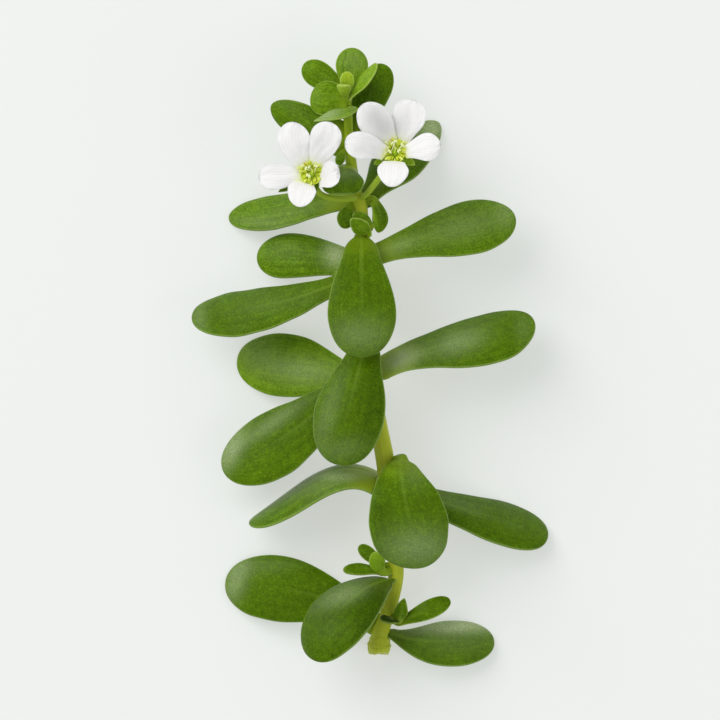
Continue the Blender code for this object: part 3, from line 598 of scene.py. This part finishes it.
def settle(mesh, places, material, **marks):
    """Moves the vertices, in millimetres, and stores what the materials read at each of them."""
    mesh.vertices.foreach_set("co", (places * MM).ravel())
    for mark, values in marks.items():
        stored = mesh.attributes.new(mark, "FLOAT", "POINT")
        stored.data.foreach_set("value", np.broadcast_to(values, len(places)).astype(np.float32))
    mesh.update()
    mesh.shade_smooth()
    mesh.materials.append(material)
    return put_in_scene(mesh.name, mesh)


def bend_down_to_surface(places, shares):
    """Bends a blade, more towards its tip, until its lowest place touches the surface."""
    for _ in range(12):
        lowest = places[:, 2].argmin()
        places[:, 2] -= places[lowest, 2] / shares[lowest] ** 2 * shares ** 2


def spots_at(places, spots):
    """How strong soft oval spots, seen from above, are at the places. Some take away instead."""
    total = np.zeros(len(places))
    for x, y, length, breadth, turn, strength in spots:
        c, s = math.cos(math.radians(turn)), math.sin(math.radians(turn))
        dx, dy = places[:, 0] - x, places[:, 1] - y
        u, v = (dx * c + dy * s) / length, (dy * c - dx * s) / breadth
        total += strength * np.exp(-0.7 * (u * u + v * v))
    return np.clip(total, -1, 2)


def directions_across(along, face):
    """The way that the face of a blade or tube looks at each place along it, and the way to its side."""
    face = np.array(face, float)
    look = face - (along @ face)[:, None] * along
    look /= np.linalg.norm(look, axis=1, keepdims=True)
    return look, np.cross(look, along)


def flesh_of(lean, thickness, spread):
    """Height of a blade's skin above its middle, thinner where the blade is narrow."""
    return np.sign(lean) * np.abs(lean) ** EDGE_FULLNESS * thickness / 2 * np.sqrt(spread)


def distance_to_edge(across, half, shares, length):
    """How far each place of a blade is from its side or its tip."""
    return np.minimum((1 - np.abs(across)) * half, (1 - shares) * length)


def stem_near(place, level=False):
    """The nearest place on the stem's centre line, or the one at the same Y, and the stem's radius there."""
    shares = np.linspace(0, 1, 600)
    centres = through([centre for centre, _ in STEM_ROUTE], shares)
    radii = through([(share * STEM_RADIUS, 0, 0) for _, share in STEM_ROUTE], shares)[:, 0]
    nearest = (np.abs(centres - place)[:, 1] if level else np.linalg.norm(centres - place, axis=1)).argmin()
    return centres[nearest], radii[nearest]


def with_foot(place, direction, length, shares, foot, bend):
    """Centres and directions of a midrib whose shares below 0 lead back, bending, to its foot."""
    start = np.zeros(1)
    base, way = place(start)[0], direction(start)[0]
    reach = np.linalg.norm(base - foot)
    t = np.clip(-shares * length / reach, 0, 1)[:, None]
    way = way * bend
    bent = (2 * t ** 3 - 3 * t ** 2 + 1) * base - (t ** 3 - 2 * t ** 2 + t) * way * reach
    bent += (3 * t ** 2 - 2 * t ** 3) * foot + (t ** 3 - t ** 2) * (foot - base)
    slope = (6 * t ** 2 - 6 * t) * base - (3 * t ** 2 - 4 * t + 1) * way * reach
    slope += (6 * t - 6 * t ** 2) * foot + (3 * t ** 2 - 2 * t) * (foot - base)
    slope /= -np.linalg.norm(slope, axis=1, keepdims=True)
    inside = np.clip(shares, 0, 1)
    behind = (shares < 0)[:, None]
    return np.where(behind, bent, place(inside)), np.where(behind, slope, direction(inside))


def leaf_foot(node, base, neck, width, level):
    """Where a leaf's foot ends in the stem, and its width there."""
    heart, radius = stem_near(base + (0, FOOT_SHIFTS.get(node, 0), 0), level)
    depth = FOOT_DEPTHS.get(node, FOOT_DEPTH)
    foot = heart + (base - heart) * depth * radius / np.linalg.norm(base - heart)
    return foot, min(FOOT_LIMIT * neck * width, FOOT_BREADTHS.get(node, FOOT_BREADTH) * radius)


def leaf(node, material, thickness, facets, spine, width, face=UP, neck=NECK, widest=WIDEST, tip=TIP,
         root=ROOT, dome=DOME, rests=False, rooted=True, straight=0):
    """A fleshy leaf: domed, and thinner along its midrib, with a groove there above and below."""
    mesh, heights, angles = drawn_out_sphere(node + "_fine", *facets)
    place, direction, length = smooth_path(spine)
    base = np.array(spine[0], float)
    if rooted:
        foot, foot_width = leaf_foot(node, base, neck, width, level=root > ROOT)
    else:
        foot, foot_width = base - 0.1 * direction(np.zeros(1))[0], 0.0
    reach = np.linalg.norm(base - foot) / length
    outline_share = (heights + 1) / 2
    shares = outline_share * (1 + reach) - reach
    centre, along = with_foot(place, direction, length, shares, foot, FOOT_BENDS.get(node, FOOT_BEND))
    look, side = directions_across(along, face)
    ending = np.clip(outline_share * (1 + reach) / (0.5 * reach), 0, 1)
    ending = np.sqrt(1 - (1 - ending) ** 2)
    if root > ROOT or not rooted:
        blade_spread = blade_outline(np.clip(shares, 0, 1), neck, widest, tip, root, straight)
        foot_spread = foot_width / width * ending * (1 - smoothstep(shares, 0, 0.25))
        spread = (blade_spread ** 4 + foot_spread ** 4) ** 0.25
    else:
        blade_spread = blade_outline(np.clip(shares, 1e-4, 1), neck, widest, tip, 1e-4, straight)
        into_stem = smoothstep(-shares / reach, 0, 1)
        spread = (blade_spread + (foot_width / width - blade_spread) * into_stem) * ending
    seed = seed_of(node)
    across = np.cos(angles)
    half = spread * width / 2 * (
        1 + LEAF_EDGE_WAVES * ripple(centre + side * across[:, None] * 3, 4.5, seed))
    lean = np.sin(angles)
    upper = smoothstep(lean, -0.25, 0.25)
    off_rib = np.abs(across) * half
    rib = np.exp(-(off_rib / (RIB_BREADTH * width)) ** 2)
    rib = rib * np.clip(1.15 - shares, 0, 1) * smoothstep(shares, 0, 0.1)
    lift = flesh_of(lean, thickness, spread) - RIB_DEPTH * thickness * rib * (2 * upper - 1)
    lift -= dome * width * (across * spread) ** 2
    places = centre + (across * half)[:, None] * side
    lift += LEAF_FACE_WAVES * thickness * ripple(places, 0.8 * width, seed + 1)
    places += lift[:, None] * look
    if rests:
        bend_down_to_surface(places, shares)
    edge = distance_to_edge(across, half, outline_share, length)
    return settle(
        mesh, places, material, along=np.clip(shares, 0, 1), off_rib=off_rib, edge=edge, upper=upper,
        fan=across, reach_out=shares * length, rim=RIM_LIGHTS.get(node, 1),
        pale=PALENESS.get(node, DEFAULT_PALENESS), streaks=STREAKS.get(node, DEFAULT_STREAKS),
        # The tone takes painted shade from its spots, and painted light from those below 0.
        tone=TONES.get(node, DEFAULT_TONE) - spots_at(places, PAINTED_SHADE_LIGHT_AND_PALE_SPOTS.get(node, [])),
        # A painted highlight, on the upper face only.
        sheen=spots_at(places, PAINTED_HIGHLIGHTS.get(node, [])) * upper)


def petal(node, material, spine, width, face=UP, neck=NECK, widest=WIDEST, tip=TIP, reach=PETAL_REACH,
          ragged=1, white_foot=0, shades=()):
    """A petal: thin, pleated along its veins, with a worn, notched end."""
    mesh, heights, angles = drawn_out_sphere(node + "_fine", *PETAL_MESH)
    place, direction, length = smooth_path(spine)
    seed = seed_of(node)
    draw = np.random.default_rng(seed)
    across = np.cos(angles)
    notch = NOTCH * np.exp(-((across - draw.uniform(-0.3, 0.3)) / 0.14) ** 2)
    notch = notch + END_WAVES * np.sin(9 * across + draw.uniform(0, 6)) + FINE_END_WAVES * np.sin(23 * across)
    notch = notch * ragged + TEARS * (ragged - 1) * np.abs(np.sin(6.5 * across + draw.uniform(0, 3))) ** 3
    outline_share = (heights + 1) / 2
    shares = outline_share * (1 + reach) - reach - np.abs(notch) * smoothstep(outline_share, 0.6, 1)
    along = direction(shares)
    look, side = directions_across(along, face)
    centre = place(shares)
    spread = blade_outline(outline_share, neck, widest, tip, ROOT)
    half = spread * width / 2 * (1 + PETAL_EDGE_WAVES * ripple(centre, 2.2, seed))
    flesh = flesh_of(np.sin(angles), PETAL_THICKNESS, spread)
    pleats = PLEATS * np.sin(across * 10 + 3 * ripple(centre, 5, seed + 2)) * (1 - 0.5 * across ** 2)
    places = centre + (across * half)[:, None] * side
    swell = SWELLINGS * ripple(places, 3.6, seed + 1) * smoothstep(shares, 0.1, 0.8)
    edge = distance_to_edge(across, half, outline_share, length)
    crinkle = CRINKLE * ripple(places, 0.9, seed + 3) * (1 - smoothstep(edge, 0, 0.7))
    crinkle = crinkle * smoothstep(shares, 0.2, 0.6)
    lift = flesh + pleats * smoothstep(shares, 0.0, 0.3) + swell + crinkle
    lift += (across * spread) ** 2 * draw.uniform(-0.1, 0.3)
    places += lift[:, None] * look
    return settle(mesh, places, material, along=np.clip(shares + white_foot, 0, 1), fan=across,
                  edge=edge, shade=spots_at(places, shades))


def through(points, shares):
    """Places on a smooth curve through evenly numbered points (Catmull and Rom's)."""
    points = np.array(points, float)
    points = np.vstack([2 * points[0] - points[1], points, 2 * points[-1] - points[-2]])
    steps = np.clip(shares, 0, 1) * (len(points) - 3)
    first = np.minimum(steps.astype(int), len(points) - 4)
    t = (steps - first)[:, None]
    a, b, c, d = (points[first + k] for k in range(4))
    square, cube = 2 * a - 5 * b + 4 * c - d, 3 * b - a - 3 * c + d
    return 0.5 * (2 * b + (c - a) * t + square * t ** 2 + cube * t ** 3)


def tube(name, route, facets, shape_radius, end, flat_start=False):
    """A stem or stalk's mesh, swept along its route of centres and radii, and its marks."""
    mesh, heights, angles = drawn_out_sphere(name, *facets)
    polar = 1 - np.arccos(heights) / np.pi
    shares = np.clip((polar - end) / (1 - 2 * end), 0, 1)
    line = [centre for centre, _ in route]
    centres = through(line, shares)
    step = 0.002
    along = through(line, shares + step) - through(line, shares - step)
    along /= np.linalg.norm(along, axis=1, keepdims=True)
    look, side = directions_across(along, UP)
    radii = through([(radius, 0, 0) for _, radius in route], shares)[:, 0]
    cap = np.clip(np.minimum(polar, 1 - polar) / end, 0, 1)
    cap = np.where((polar < 0.5) & flat_start, cap ** 0.8, np.sin(cap * np.pi / 2))
    length = np.linalg.norm(np.diff(line, axis=0), axis=1).sum()
    radii = shape_radius(radii, shares * length, angles)
    ring = np.cos(angles)[:, None] * side + np.sin(angles)[:, None] * look
    places = centres + (radii * cap)[:, None] * ring
    if not flat_start:
        outward = np.sqrt(np.clip(1 - cap ** 2, 0, 1)) * radii * np.sign(polar - 0.5)
        places += outward[:, None] * along
    return mesh, places, dict(run=shares * length, ring_x=np.cos(angles), ring_y=np.sin(angles), cap=cap)


def joined(name, pieces):
    """One object made of several, with their materials."""
    with bpy.context.temp_override(active_object=pieces[0], selected_editable_objects=pieces):
        bpy.ops.object.join()
    pieces[0].name = pieces[0].data.name = name
    return pieces[0]


def ball(name, material, centre, radii, facing=Matrix.Identity(3), bumps=0.0):
    """A small rounded body, such as an ovary or an anther, with an uneven surface."""
    mesh, heights, angles = drawn_out_sphere(name, *BALL_MESH)
    out = np.sqrt(1 - heights ** 2)
    places = np.stack([out * np.cos(angles), out * np.sin(angles), heights], axis=1)
    places *= 1 + bumps * ripple(places, 1.6, seed_of(name))[:, None]
    places = (places * radii) @ np.array(facing).T + centre
    return settle(mesh, places, material, along=(heights + 1) / 2)


def thread(name, material, points, radius):
    """A fine round thread, such as a filament or the style."""
    mesh, places, marks = tube(name, [(point, radius) for point in points], THREAD_MESH,
                               lambda radii, run, angles: radii, end=0.05)
    return settle(mesh, places, material, along=marks["run"] / marks["run"].max())


# Materials

class Recipe:
    """One material's node tree, with short calls for the nodes that the recipes use."""

    def __init__(self, name):
        self.material = bpy.data.materials.new(name)
        self.material.use_nodes = True
        self.tree = self.material.node_tree
        self.surface = self.tree.nodes["Principled BSDF"]
        self.place = self.tree.nodes.new("ShaderNodeTexCoord").outputs["Object"]

    def put(self, socket, value):
        """Links a socket to another, or sets it to a number or a colour."""
        if isinstance(value, bpy.types.NodeSocket):
            self.tree.links.new(value, socket)
        elif hasattr(socket.default_value, "__len__") and len(socket.default_value) == 4:
            socket.default_value = (*value[:3], 1)
        else:
            socket.default_value = value

    def node(self, kind, inputs, output=0, **settings):
        """Adds a node with its settings and what its numbered or named inputs get, and gives its output."""
        made = self.tree.nodes.new("ShaderNode" + kind)
        for name, setting in settings.items():
            setattr(made, name, setting)
        for socket, value in inputs.items():
            self.put(made.inputs[socket], value)
        return made.outputs[output]

    def mark(self, name):
        """A value stored at the piece's vertices."""
        return self.node("Attribute", {}, "Fac", attribute_name=name)

    def noise(self, size, detail=2.0, roughness=0.5, vector=None):
        """Noise whose blotches are about size millimetres across, or size of the vector's own units."""
        inputs = {"Vector": vector or self.place, "Scale": 1 / size if vector else 1 / (size * MM)}
        return self.node("TexNoise", {**inputs, "Detail": detail, "Roughness": roughness})

    def cells(self, size):
        """Distance from the middles of cells about size millimetres across."""
        return self.node("TexVoronoi", {"Vector": self.place, "Scale": 1 / (size * MM)}, "Distance")

    def math(self, operation, *values):
        return self.node("Math", dict(enumerate(values)), operation=operation)

    def times(self, first, second):
        return self.math("MULTIPLY", first, second)

    def scaled(self, value, factor, added):
        """The value times the factor, with what is added."""
        return self.math("MULTIPLY_ADD", value, factor, added)

    def vector(self, *values):
        return self.node("CombineXYZ", dict(enumerate(values)))

    def ease(self, value, low, high, to_low=0.0, to_high=1.0):
        """Turns low to high into to_low to to_high, smoothly, and holds the ends."""
        inputs = dict(enumerate((value, low, high, to_low, to_high)))
        return self.node("MapRange", inputs, "Result", interpolation_type="SMOOTHSTEP")

    def mix(self, share, first, second):
        """From the first colour at 0 to the second at 1."""
        return self.node("Mix", {0: share, 6: first, 7: second}, 2, data_type="RGBA")

    def ramp(self, share, *colours):
        """A run of evenly spaced colours."""
        node = self.tree.nodes.new("ShaderNodeValToRGB")
        stops = node.color_ramp.elements
        for _ in colours[2:]:
            stops.new(0.5)
        for number, (stop, colour) in enumerate(zip(stops, colours)):
            stop.position = number / (len(colours) - 1)
            stop.color = (*colour, 1)
        self.put(node.inputs[0], share)
        return node.outputs[0]

    def finish(self, colour, roughness, height, relief, **constants):
        """Connects colour, roughness and a height with its relief in millimetres."""
        bump = self.tree.nodes.new("ShaderNodeBump")
        bump.inputs["Distance"].default_value = relief * MM
        self.put(bump.inputs["Height"], height)
        self.tree.links.new(bump.outputs["Normal"], self.surface.inputs["Normal"])
        self.put(self.surface.inputs["Base Color"], colour)
        self.put(self.surface.inputs["Roughness"], roughness)
        for name, value in constants.items():
            self.surface.inputs[name.replace("_", " ")].default_value = value
        return self.material


def leaf_material(name, veins, relief, rim, rim_strength):
    """Green flesh with cells, midrib, veins, streaks and a pale base, with painted rim light, painted shade
    and a speckled painted highlight.
    """
    recipe = Recipe(name)
    along, upper, sheen = recipe.mark("along"), recipe.mark("upper"), recipe.mark("sheen")
    off_rib = recipe.mark("off_rib")
    grain = recipe.noise(LEAF_GRAIN, 2.5, 0.6)
    cells = recipe.cells(LEAF_CELLS)
    mottle = recipe.scaled(recipe.noise(SMALL_BLOTCHES), 0.36,
                         recipe.times(recipe.noise(LARGE_BLOTCHES), 0.30))
    streak = recipe.noise(0.10, 2.0, 0.6, recipe.vector(
        recipe.mark("fan"), recipe.times(along, 0.12), upper))
    streak = recipe.times(recipe.math("SUBTRACT", streak, 0.5), recipe.mark("streaks"))
    # The tone mark holds the leaf's own green together with painted shade and painted light.
    tone = recipe.math("ADD", mottle, recipe.mark("tone"))
    tone = recipe.scaled(grain, 1.05, tone)
    tone = recipe.scaled(streak, 1.5, tone)
    tone = recipe.math("SUBTRACT", tone, 0.855)
    colour = recipe.ramp(recipe.times(tone, 1 / 1.5), LEAF_DARK, LEAF_MID, LEAF_LIGHT, LEAF_BRIGHT)
    slant = recipe.scaled(off_rib, -1.5, recipe.mark("reach_out"))
    wander = recipe.scaled(recipe.noise(1.5), 0.9, slant)
    vein = recipe.math("PINGPONG", wander, VEIN_GAP)
    vein = recipe.times(recipe.ease(vein, 0.16, 0.0), veins)
    colour = recipe.mix(vein, colour, LEAF_RIB)
    rib = recipe.times(recipe.ease(off_rib, 0.36, 0.04), recipe.ease(along, 0.85, 0.1))
    colour = recipe.mix(recipe.times(rib, 0.36), colour, LEAF_RIB)
    # Pale base: the leaf's own paler green, raised as painted light on bases that lie in shadow.
    pale = recipe.times(recipe.ease(along, 0.28, 0.0), recipe.mark("pale"))
    colour = recipe.mix(pale, colour, LEAF_BASE)
    # Painted rim light: a thin paler line along the translucent edge.
    painted_rim_light = recipe.times(recipe.ease(recipe.mark("edge"), 0.17, 0.02, 0, rim_strength),
                         recipe.mark("rim"))
    colour = recipe.mix(painted_rim_light, colour, rim)
    colour = recipe.mix(recipe.math("SUBTRACT", 0.22, recipe.times(upper, 0.22)), colour, LEAF_RIB)
    # Painted highlight: paler, greyer speckles where the highlight mark is set.
    glitter = recipe.noise(0.15, 2.0, 0.6)
    highlight_speckle = recipe.times(sheen, recipe.ease(glitter, 0.32, 0.68, 0.30, 0.62))
    colour = recipe.mix(highlight_speckle, colour, LEAF_PAINTED_HIGHLIGHT)
    roughness = recipe.scaled(sheen, -0.06, recipe.scaled(grain, 0.16, 0.25))
    height = recipe.math("SUBTRACT", recipe.times(grain, 1.2), recipe.times(cells, 0.6))
    height = recipe.scaled(vein, 0.8, height)
    height = recipe.scaled(streak, 1.5, height)
    return recipe.finish(
        colour, roughness, height, relief, Specular_IOR_Level=0.15, Subsurface_Weight=0.15,
        Subsurface_Radius=(0.5, 1.0, 0.12), Subsurface_Scale=0.4 * MM)


def stem_material(name, green, light):
    """Juicy pale green skin with fine lines along it, paler at the cut end."""
    recipe = Recipe(name)
    run = recipe.mark("run")
    lines = recipe.noise(0.20, 3.0, 0.6, recipe.vector(
        recipe.mark("ring_x"), recipe.mark("ring_y"), recipe.times(run, 0.05)))
    mottle = recipe.noise(2.4)
    share = recipe.scaled(lines, 0.9, recipe.times(mottle, 0.5))
    colour = recipe.ramp(recipe.math("SUBTRACT", share, 0.2), green, light)
    colour = recipe.mix(recipe.ease(run, 42, 66, 0, 0.65), colour, STEM_YOUNG)
    colour = recipe.mix(recipe.ease(run, 0.5, 0.0, 0, 0.5), colour, STEM_CUT)
    colour = recipe.mix(recipe.ease(recipe.mark("cap"), 0.98, 0.8), colour, STEM_CUT)
    roughness = recipe.scaled(lines, 0.2, 0.34)
    height = recipe.scaled(recipe.noise(0.25), 0.3, lines)
    return recipe.finish(colour, roughness, height, 0.02, Specular_IOR_Level=0.25, Subsurface_Weight=0.3,
                         Subsurface_Radius=(0.9, 1.0, 0.2), Subsurface_Scale=0.7 * MM)


def petal_material():
    """White petal with fine lilac-grey veins, and a yellow-green foot in the throat."""
    recipe = Recipe("petal_tissue")
    along, fan = recipe.mark("along"), recipe.mark("fan")
    warp = recipe.scaled(recipe.noise(1.6), 0.10, fan)
    vein = recipe.math("PINGPONG", recipe.math("ADD", warp, 3.0), 0.105)
    vein = recipe.ease(vein, 0.035, 0.0)
    vein = recipe.times(vein, recipe.ease(along, 1.0, 0.35, 0.18, 0.42))
    vein = recipe.times(vein, recipe.ease(recipe.noise(0.8), 0.3, 0.7))
    colour = recipe.mix(vein, PETAL_WHITE, PETAL_VEIN)
    colour = recipe.mix(recipe.ease(recipe.mark("edge"), 0.14, 0.0, 0, 0.35), colour, PETAL_VEIN)
    colour = recipe.mix(recipe.mark("shade"), colour, PETAL_SHADE)
    foot = recipe.scaled(recipe.noise(0.6), 0.10, along)
    colour = recipe.mix(recipe.ease(foot, 0.28, 0.06, 0, 0.25), colour, PETAL_FOOT)
    colour = recipe.mix(recipe.ease(foot, 0.10, 0.04, 0, 0.6), colour, THROAT)
    height = recipe.scaled(vein, -2.0, recipe.noise(0.22))
    roughness = recipe.ease(recipe.noise(0.5), 0.2, 0.8, 0.45, 0.65)
    return recipe.finish(colour, roughness, height, 0.010,
                         Specular_IOR_Level=0.3, Subsurface_Weight=0.25,
                         Subsurface_Radius=(1.0, 1.0, 1.0), Subsurface_Scale=0.3 * MM)


def soft_material(name, first, second, size=0.35, roughness=0.45):
    """Blotchy plant tissue between two colours."""
    recipe = Recipe(name)
    blotch = recipe.noise(size, 3.0, 0.6)
    colour = recipe.ramp(recipe.ease(blotch, 0.3, 0.7), first, second)
    roughness = recipe.ease(blotch, 0.2, 0.8, roughness - 0.1, roughness + 0.1)
    return recipe.finish(colour, roughness, blotch, 0.02,
                         Specular_IOR_Level=0.4, Subsurface_Weight=0.2,
                         Subsurface_Radius=(1.0, 1.0, 0.4), Subsurface_Scale=0.3 * MM)


# The cutting

def dress(piece, node):
    """Puts a fine piece in its solid's place, on the one body."""
    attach(piece, "root")
    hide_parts(node)


def stem_radius(radii, run, angles):
    """Swollen joints, four soft corners and shallow furrows."""
    for joint in STEM_JOINTS:
        radii = radii * (1 + JOINT_SWELLING * np.exp(-((run - joint) / 0.5) ** 2))
    for scar in STEM_SCARS:
        past = run - scar - 0.5 * np.sin(2 * angles + scar) - 0.15 * np.sin(5 * angles)
        rise, fall = np.exp(-(past / 0.25) ** 2), smoothstep(past, 0, 0.3)
        radii = radii * (1 + SCAR_RELIEF * rise - SCAR_RELIEF * fall)
    radii = radii * (1 - CUT_NARROWING * np.exp(-(run / 0.6) ** 2))
    ragged = 1 + (0.07 * np.sin(5 * angles + 1) + 0.03 * np.sin(13 * angles)) * np.exp(-run / 0.8)
    return radii * ragged * (1 + 0.022 * np.cos(4 * angles + 0.6) + 0.010 * np.sin(11 * angles + 0.15 * run))


def torn_end(places, run, ring_x, ring_y):
    """Pulls the cut end of the stem out into uneven shreds."""
    angles = np.arctan2(ring_y, ring_x)
    shreds = 0.5 * np.sin(2 * angles + 0.8) + 0.3 * np.sin(7 * angles) + 0.2 * np.sin(12 * angles + 2)
    places[:, 1] -= SHRED_LENGTH * shreds * (1 - smoothstep(run, 0, 0.9))


def stalk_radius(radii, run, angles):
    """A soft five-cornered stalk that widens under its flower."""
    return radii * (1 + 0.03 * np.sin(5 * angles)) * (1 + 0.5 * smoothstep(run, run.max() - 1.4, run.max()))


def facing_of(look):
    """The turn from straight up to the way that a flower looks."""
    return Vector(UP).rotation_difference(Vector(look)).to_matrix()


def flower_middle(flower, throat, ovary, pale, anther, speck, centre, look, stamens, specks):
    """The throat with its ovary, glands, style and stamens."""
    facing = facing_of(look)
    axes = np.array(facing)

    def at(x, y, z):
        return np.array(centre) + axes @ np.array((x, y, z))

    mesh, heights, angles = drawn_out_sphere(flower, *THROAT_MESH)
    polar = 1 - np.arccos(heights) / np.pi
    stops, radii, levels = zip(*THROAT_PROFILE)
    radius, level = np.interp(polar, stops, radii), np.interp(polar, stops, levels)
    radius = radius * (1 + 0.05 * np.cos(5 * angles) + 0.03 * np.sin(17 * angles))
    cup = np.stack([radius * np.cos(angles), radius * np.sin(angles), level], axis=1)
    pieces = [settle(mesh, cup @ axes.T + centre, throat, along=polar)]
    pieces.append(ball(flower + "_ovary", ovary, at(*OVARY_PLACE), OVARY_SIZE, facing, 0.05))
    draw = np.random.default_rng(seed_of(flower))
    for number in range(GLANDS):
        angle = 2 * math.pi * number / GLANDS + draw.uniform(-0.12, 0.12)
        outer = number % 3 == 0
        out = draw.uniform(*(OUTER_RING if outer else INNER_RING))
        length, breadth = draw.uniform(*GLAND_LENGTHS), draw.uniform(*GLAND_BREADTHS)
        turned = facing @ Matrix.Rotation(angle, 3, "Z") @ Matrix.Rotation(-0.5, 3, "Y")
        spot = at(out * math.cos(angle), out * math.sin(angle), 0.50 + 0.30 * out)
        pieces.append(ball(f"{flower}_gland_{number}", pale if outer else throat, spot,
                           (length, breadth, 0.7 * breadth), turned, 0.1))
    low, middle, high = FILAMENT_LEVELS
    for number, (x, y, foot_x, foot_y, size) in enumerate(stamens):
        foot, top = at(foot_x, foot_y, low), at(x, y, high)
        bend = at((x + foot_x) / 2, (y + foot_y) / 2, middle)
        pieces.append(thread(f"{flower}_filament_{number}", anther, [foot, bend, top], FILAMENT_RADIUS))
        across = np.array((foot_y - y, x - foot_x, 0.0)) / math.hypot(x - foot_x, y - foot_y)
        across = across * ANTHER_GAP * size
        for lobe, sign in enumerate((-1, 1)):
            pieces.append(ball(f"{flower}_anther_{number}_{lobe}", anther, top + axes @ (across * sign),
                               np.array(ANTHER_SIZE) * size, facing, 0.08))
    pieces.append(thread(f"{flower}_style", pale, [at(*point) for point in STYLE_ROUTE], STYLE_RADIUS))
    for number, (x, y) in enumerate(specks):
        pieces.append(ball(f"{flower}_speck_{number}", speck, at(x, y, SPECK_LEVEL), SPECK_SIZE, facing, 0.1))
    piece = joined(f"{flower}_centre_fine", pieces)
    dress(piece, f"{flower}_centre")


def sepal_cup(flower, material, centre, look, turn, longest, reach):
    """Five narrow sepals on a small green cup under the petals."""
    axes = np.array(facing_of(look))
    pieces = []
    for number in range(SEPALS):
        angle = math.radians(turn + 360 / SEPALS * number + SEPAL_SHIFTS[flower][number])
        tip = longest if number == 0 else reach
        out = np.array((math.cos(angle), math.sin(angle), 0))
        spine = [out * 0.1 + (0, 0, CUP_LEVEL), out * tip * 0.5 + (0, 0, SEPAL_MIDDLE_LEVEL),
                 out * tip + (0, 0, SEPAL_TIP_LEVEL)]
        spine = [axes @ point + centre for point in spine]
        pieces.append(leaf(f"{flower}_sepal_{number}", material, SEPAL_THICKNESS, SEPAL_MESH, spine,
                           SEPAL_WIDTH, look, neck=0.9, widest=0.35, tip=1.3, rooted=False))
    pieces.append(ball(f"{flower}_cup", material, axes @ np.array((0, 0, CUP_LEVEL)) + centre,
                       CUP_SIZE, axes, 0.04))
    return joined(f"{flower}_sepals_fine", pieces)


leaf_skin = leaf_material("leaf_skin", 0.04, 0.035, LEAF_RIM_LIGHT, 0.50)
young_skin = leaf_material("young_leaf_skin", 0.10, 0.030, YOUNG_RIM_LIGHT, 0.42)
stem_skin = stem_material("stem_skin", STEM_GREEN, STEM_PALE)
stalk_skin = stem_material("flower_stalk_skin", STALK_GREEN, STALK_PALE)
petal_tissue = petal_material()
throat = soft_material("throat_tissue", THROAT_DEEP, THROAT)
ovary = soft_material("ovary_skin", OVARY, THROAT_DEEP)
pale = soft_material("gland_tissue", THROAT, THROAT_PALE, 0.25)
anther = soft_material("anther_tissue", ANTHER, THROAT_PALE, 0.2)
speck = soft_material("speck_tissue", SPECK, THROAT, 0.2)

for node, values in LEAVES.items():
    dress(leaf(node, leaf_skin, LEAF_THICKNESS, LEAF_MESH, **values), node)
for node, values in SMALL_LEAVES.items():
    dress(leaf(node, young_skin, SMALL_LEAF_THICKNESS, SMALL_MESH, **values), node)
for flower, petals in PETALS.items():
    for side, values in petals.items():
        node = f"{flower}_petal_{side}"
        dress(petal(node, petal_tissue, **values), node)
stem_route = [(centre, share * STEM_RADIUS) for centre, share in STEM_ROUTE]
mesh, places, marks = tube("stem_fine", stem_route, STEM_MESH, stem_radius, end=0.010, flat_start=True)
torn_end(places, marks["run"], marks["ring_x"], marks["ring_y"])
dress(settle(mesh, places, stem_skin, **marks), "stem")
for node, stalk in FLOWER_STALKS.items():
    flower = FLOWERS[node.removesuffix("_stalk")]
    cup = np.array(flower["centre"]) + np.array(facing_of(flower["look"])) @ (0, 0, CUP_LEVEL)
    foot, _ = stem_near(np.array(stalk[0]))
    route = [(centre, STALK_RADIUS) for centre in (foot, *stalk, cup)]
    mesh, places, marks = tube(node + "_fine", route, STALK_MESH, stalk_radius, end=0.04)
    dress(settle(mesh, places, stalk_skin, **marks), node)
for flower, values in FLOWERS.items():
    flower_middle(flower, throat, ovary, pale, anther, speck, values["centre"], values["look"],
                  STAMENS[flower], SPECKS[flower])
    dress(sepal_cup(flower, young_skin, **values), f"{flower}_sepals")


# Floor, light and camera

def area_light(name, place, size, power, glossy=True):
    """A square soft light, turned to the cutting."""
    light = bpy.data.lights.new(name, "AREA")
    light.size = size
    light.energy = power
    made = put_in_scene(name, light)
    made.visible_glossy = glossy
    made.location = place
    made.rotation_euler = (Vector(LIGHT_AIM) - Vector(place)).to_track_quat("-Z", "Y").to_euler()


def pale_floor():
    """A wide pale surface like a light table: it glows a little, so shadows stay faint."""
    mesh = plain_mesh("floor", bmesh.ops.create_grid, x_segments=8, y_segments=8, size=FLOOR_HALF_WIDTH)
    recipe = Recipe("floor_paper")
    grain = recipe.noise(4, 3)
    mesh.materials.append(recipe.finish(
        FLOOR_COLOUR, 0.8, grain, 0.002, Specular_IOR_Level=0.1,
        Emission_Color=(*FLOOR_COLOUR, 1), Emission_Strength=FLOOR_GLOW))
    floor = put_in_scene("floor", mesh)


pale_floor()
for name, values in LIGHTS.items():
    area_light(name, **values)

world = bpy.data.worlds.new("studio")
world.use_nodes = True
bpy.context.scene.world = world
sky = world.node_tree.nodes["Background"]
sky.inputs["Color"].default_value = (*SKY, 1)
sky.inputs["Strength"].default_value = SKY_STRENGTH
world.cycles_visibility.glossy = False

camera_data = bpy.data.cameras.new("camera")
camera_data.sensor_width = SENSOR_WIDTH
camera_data.lens = SENSOR_WIDTH * (CAMERA_HEIGHT - PLANT_MIDDLE_HEIGHT) / PICTURE_WIDTH
camera_data.clip_end = 20
camera = put_in_scene("camera", camera_data)
camera.location = (*PICTURE_MIDDLE, CAMERA_HEIGHT)
bpy.context.scene.camera = camera
bpy.context.scene.view_settings.view_transform = "Standard"
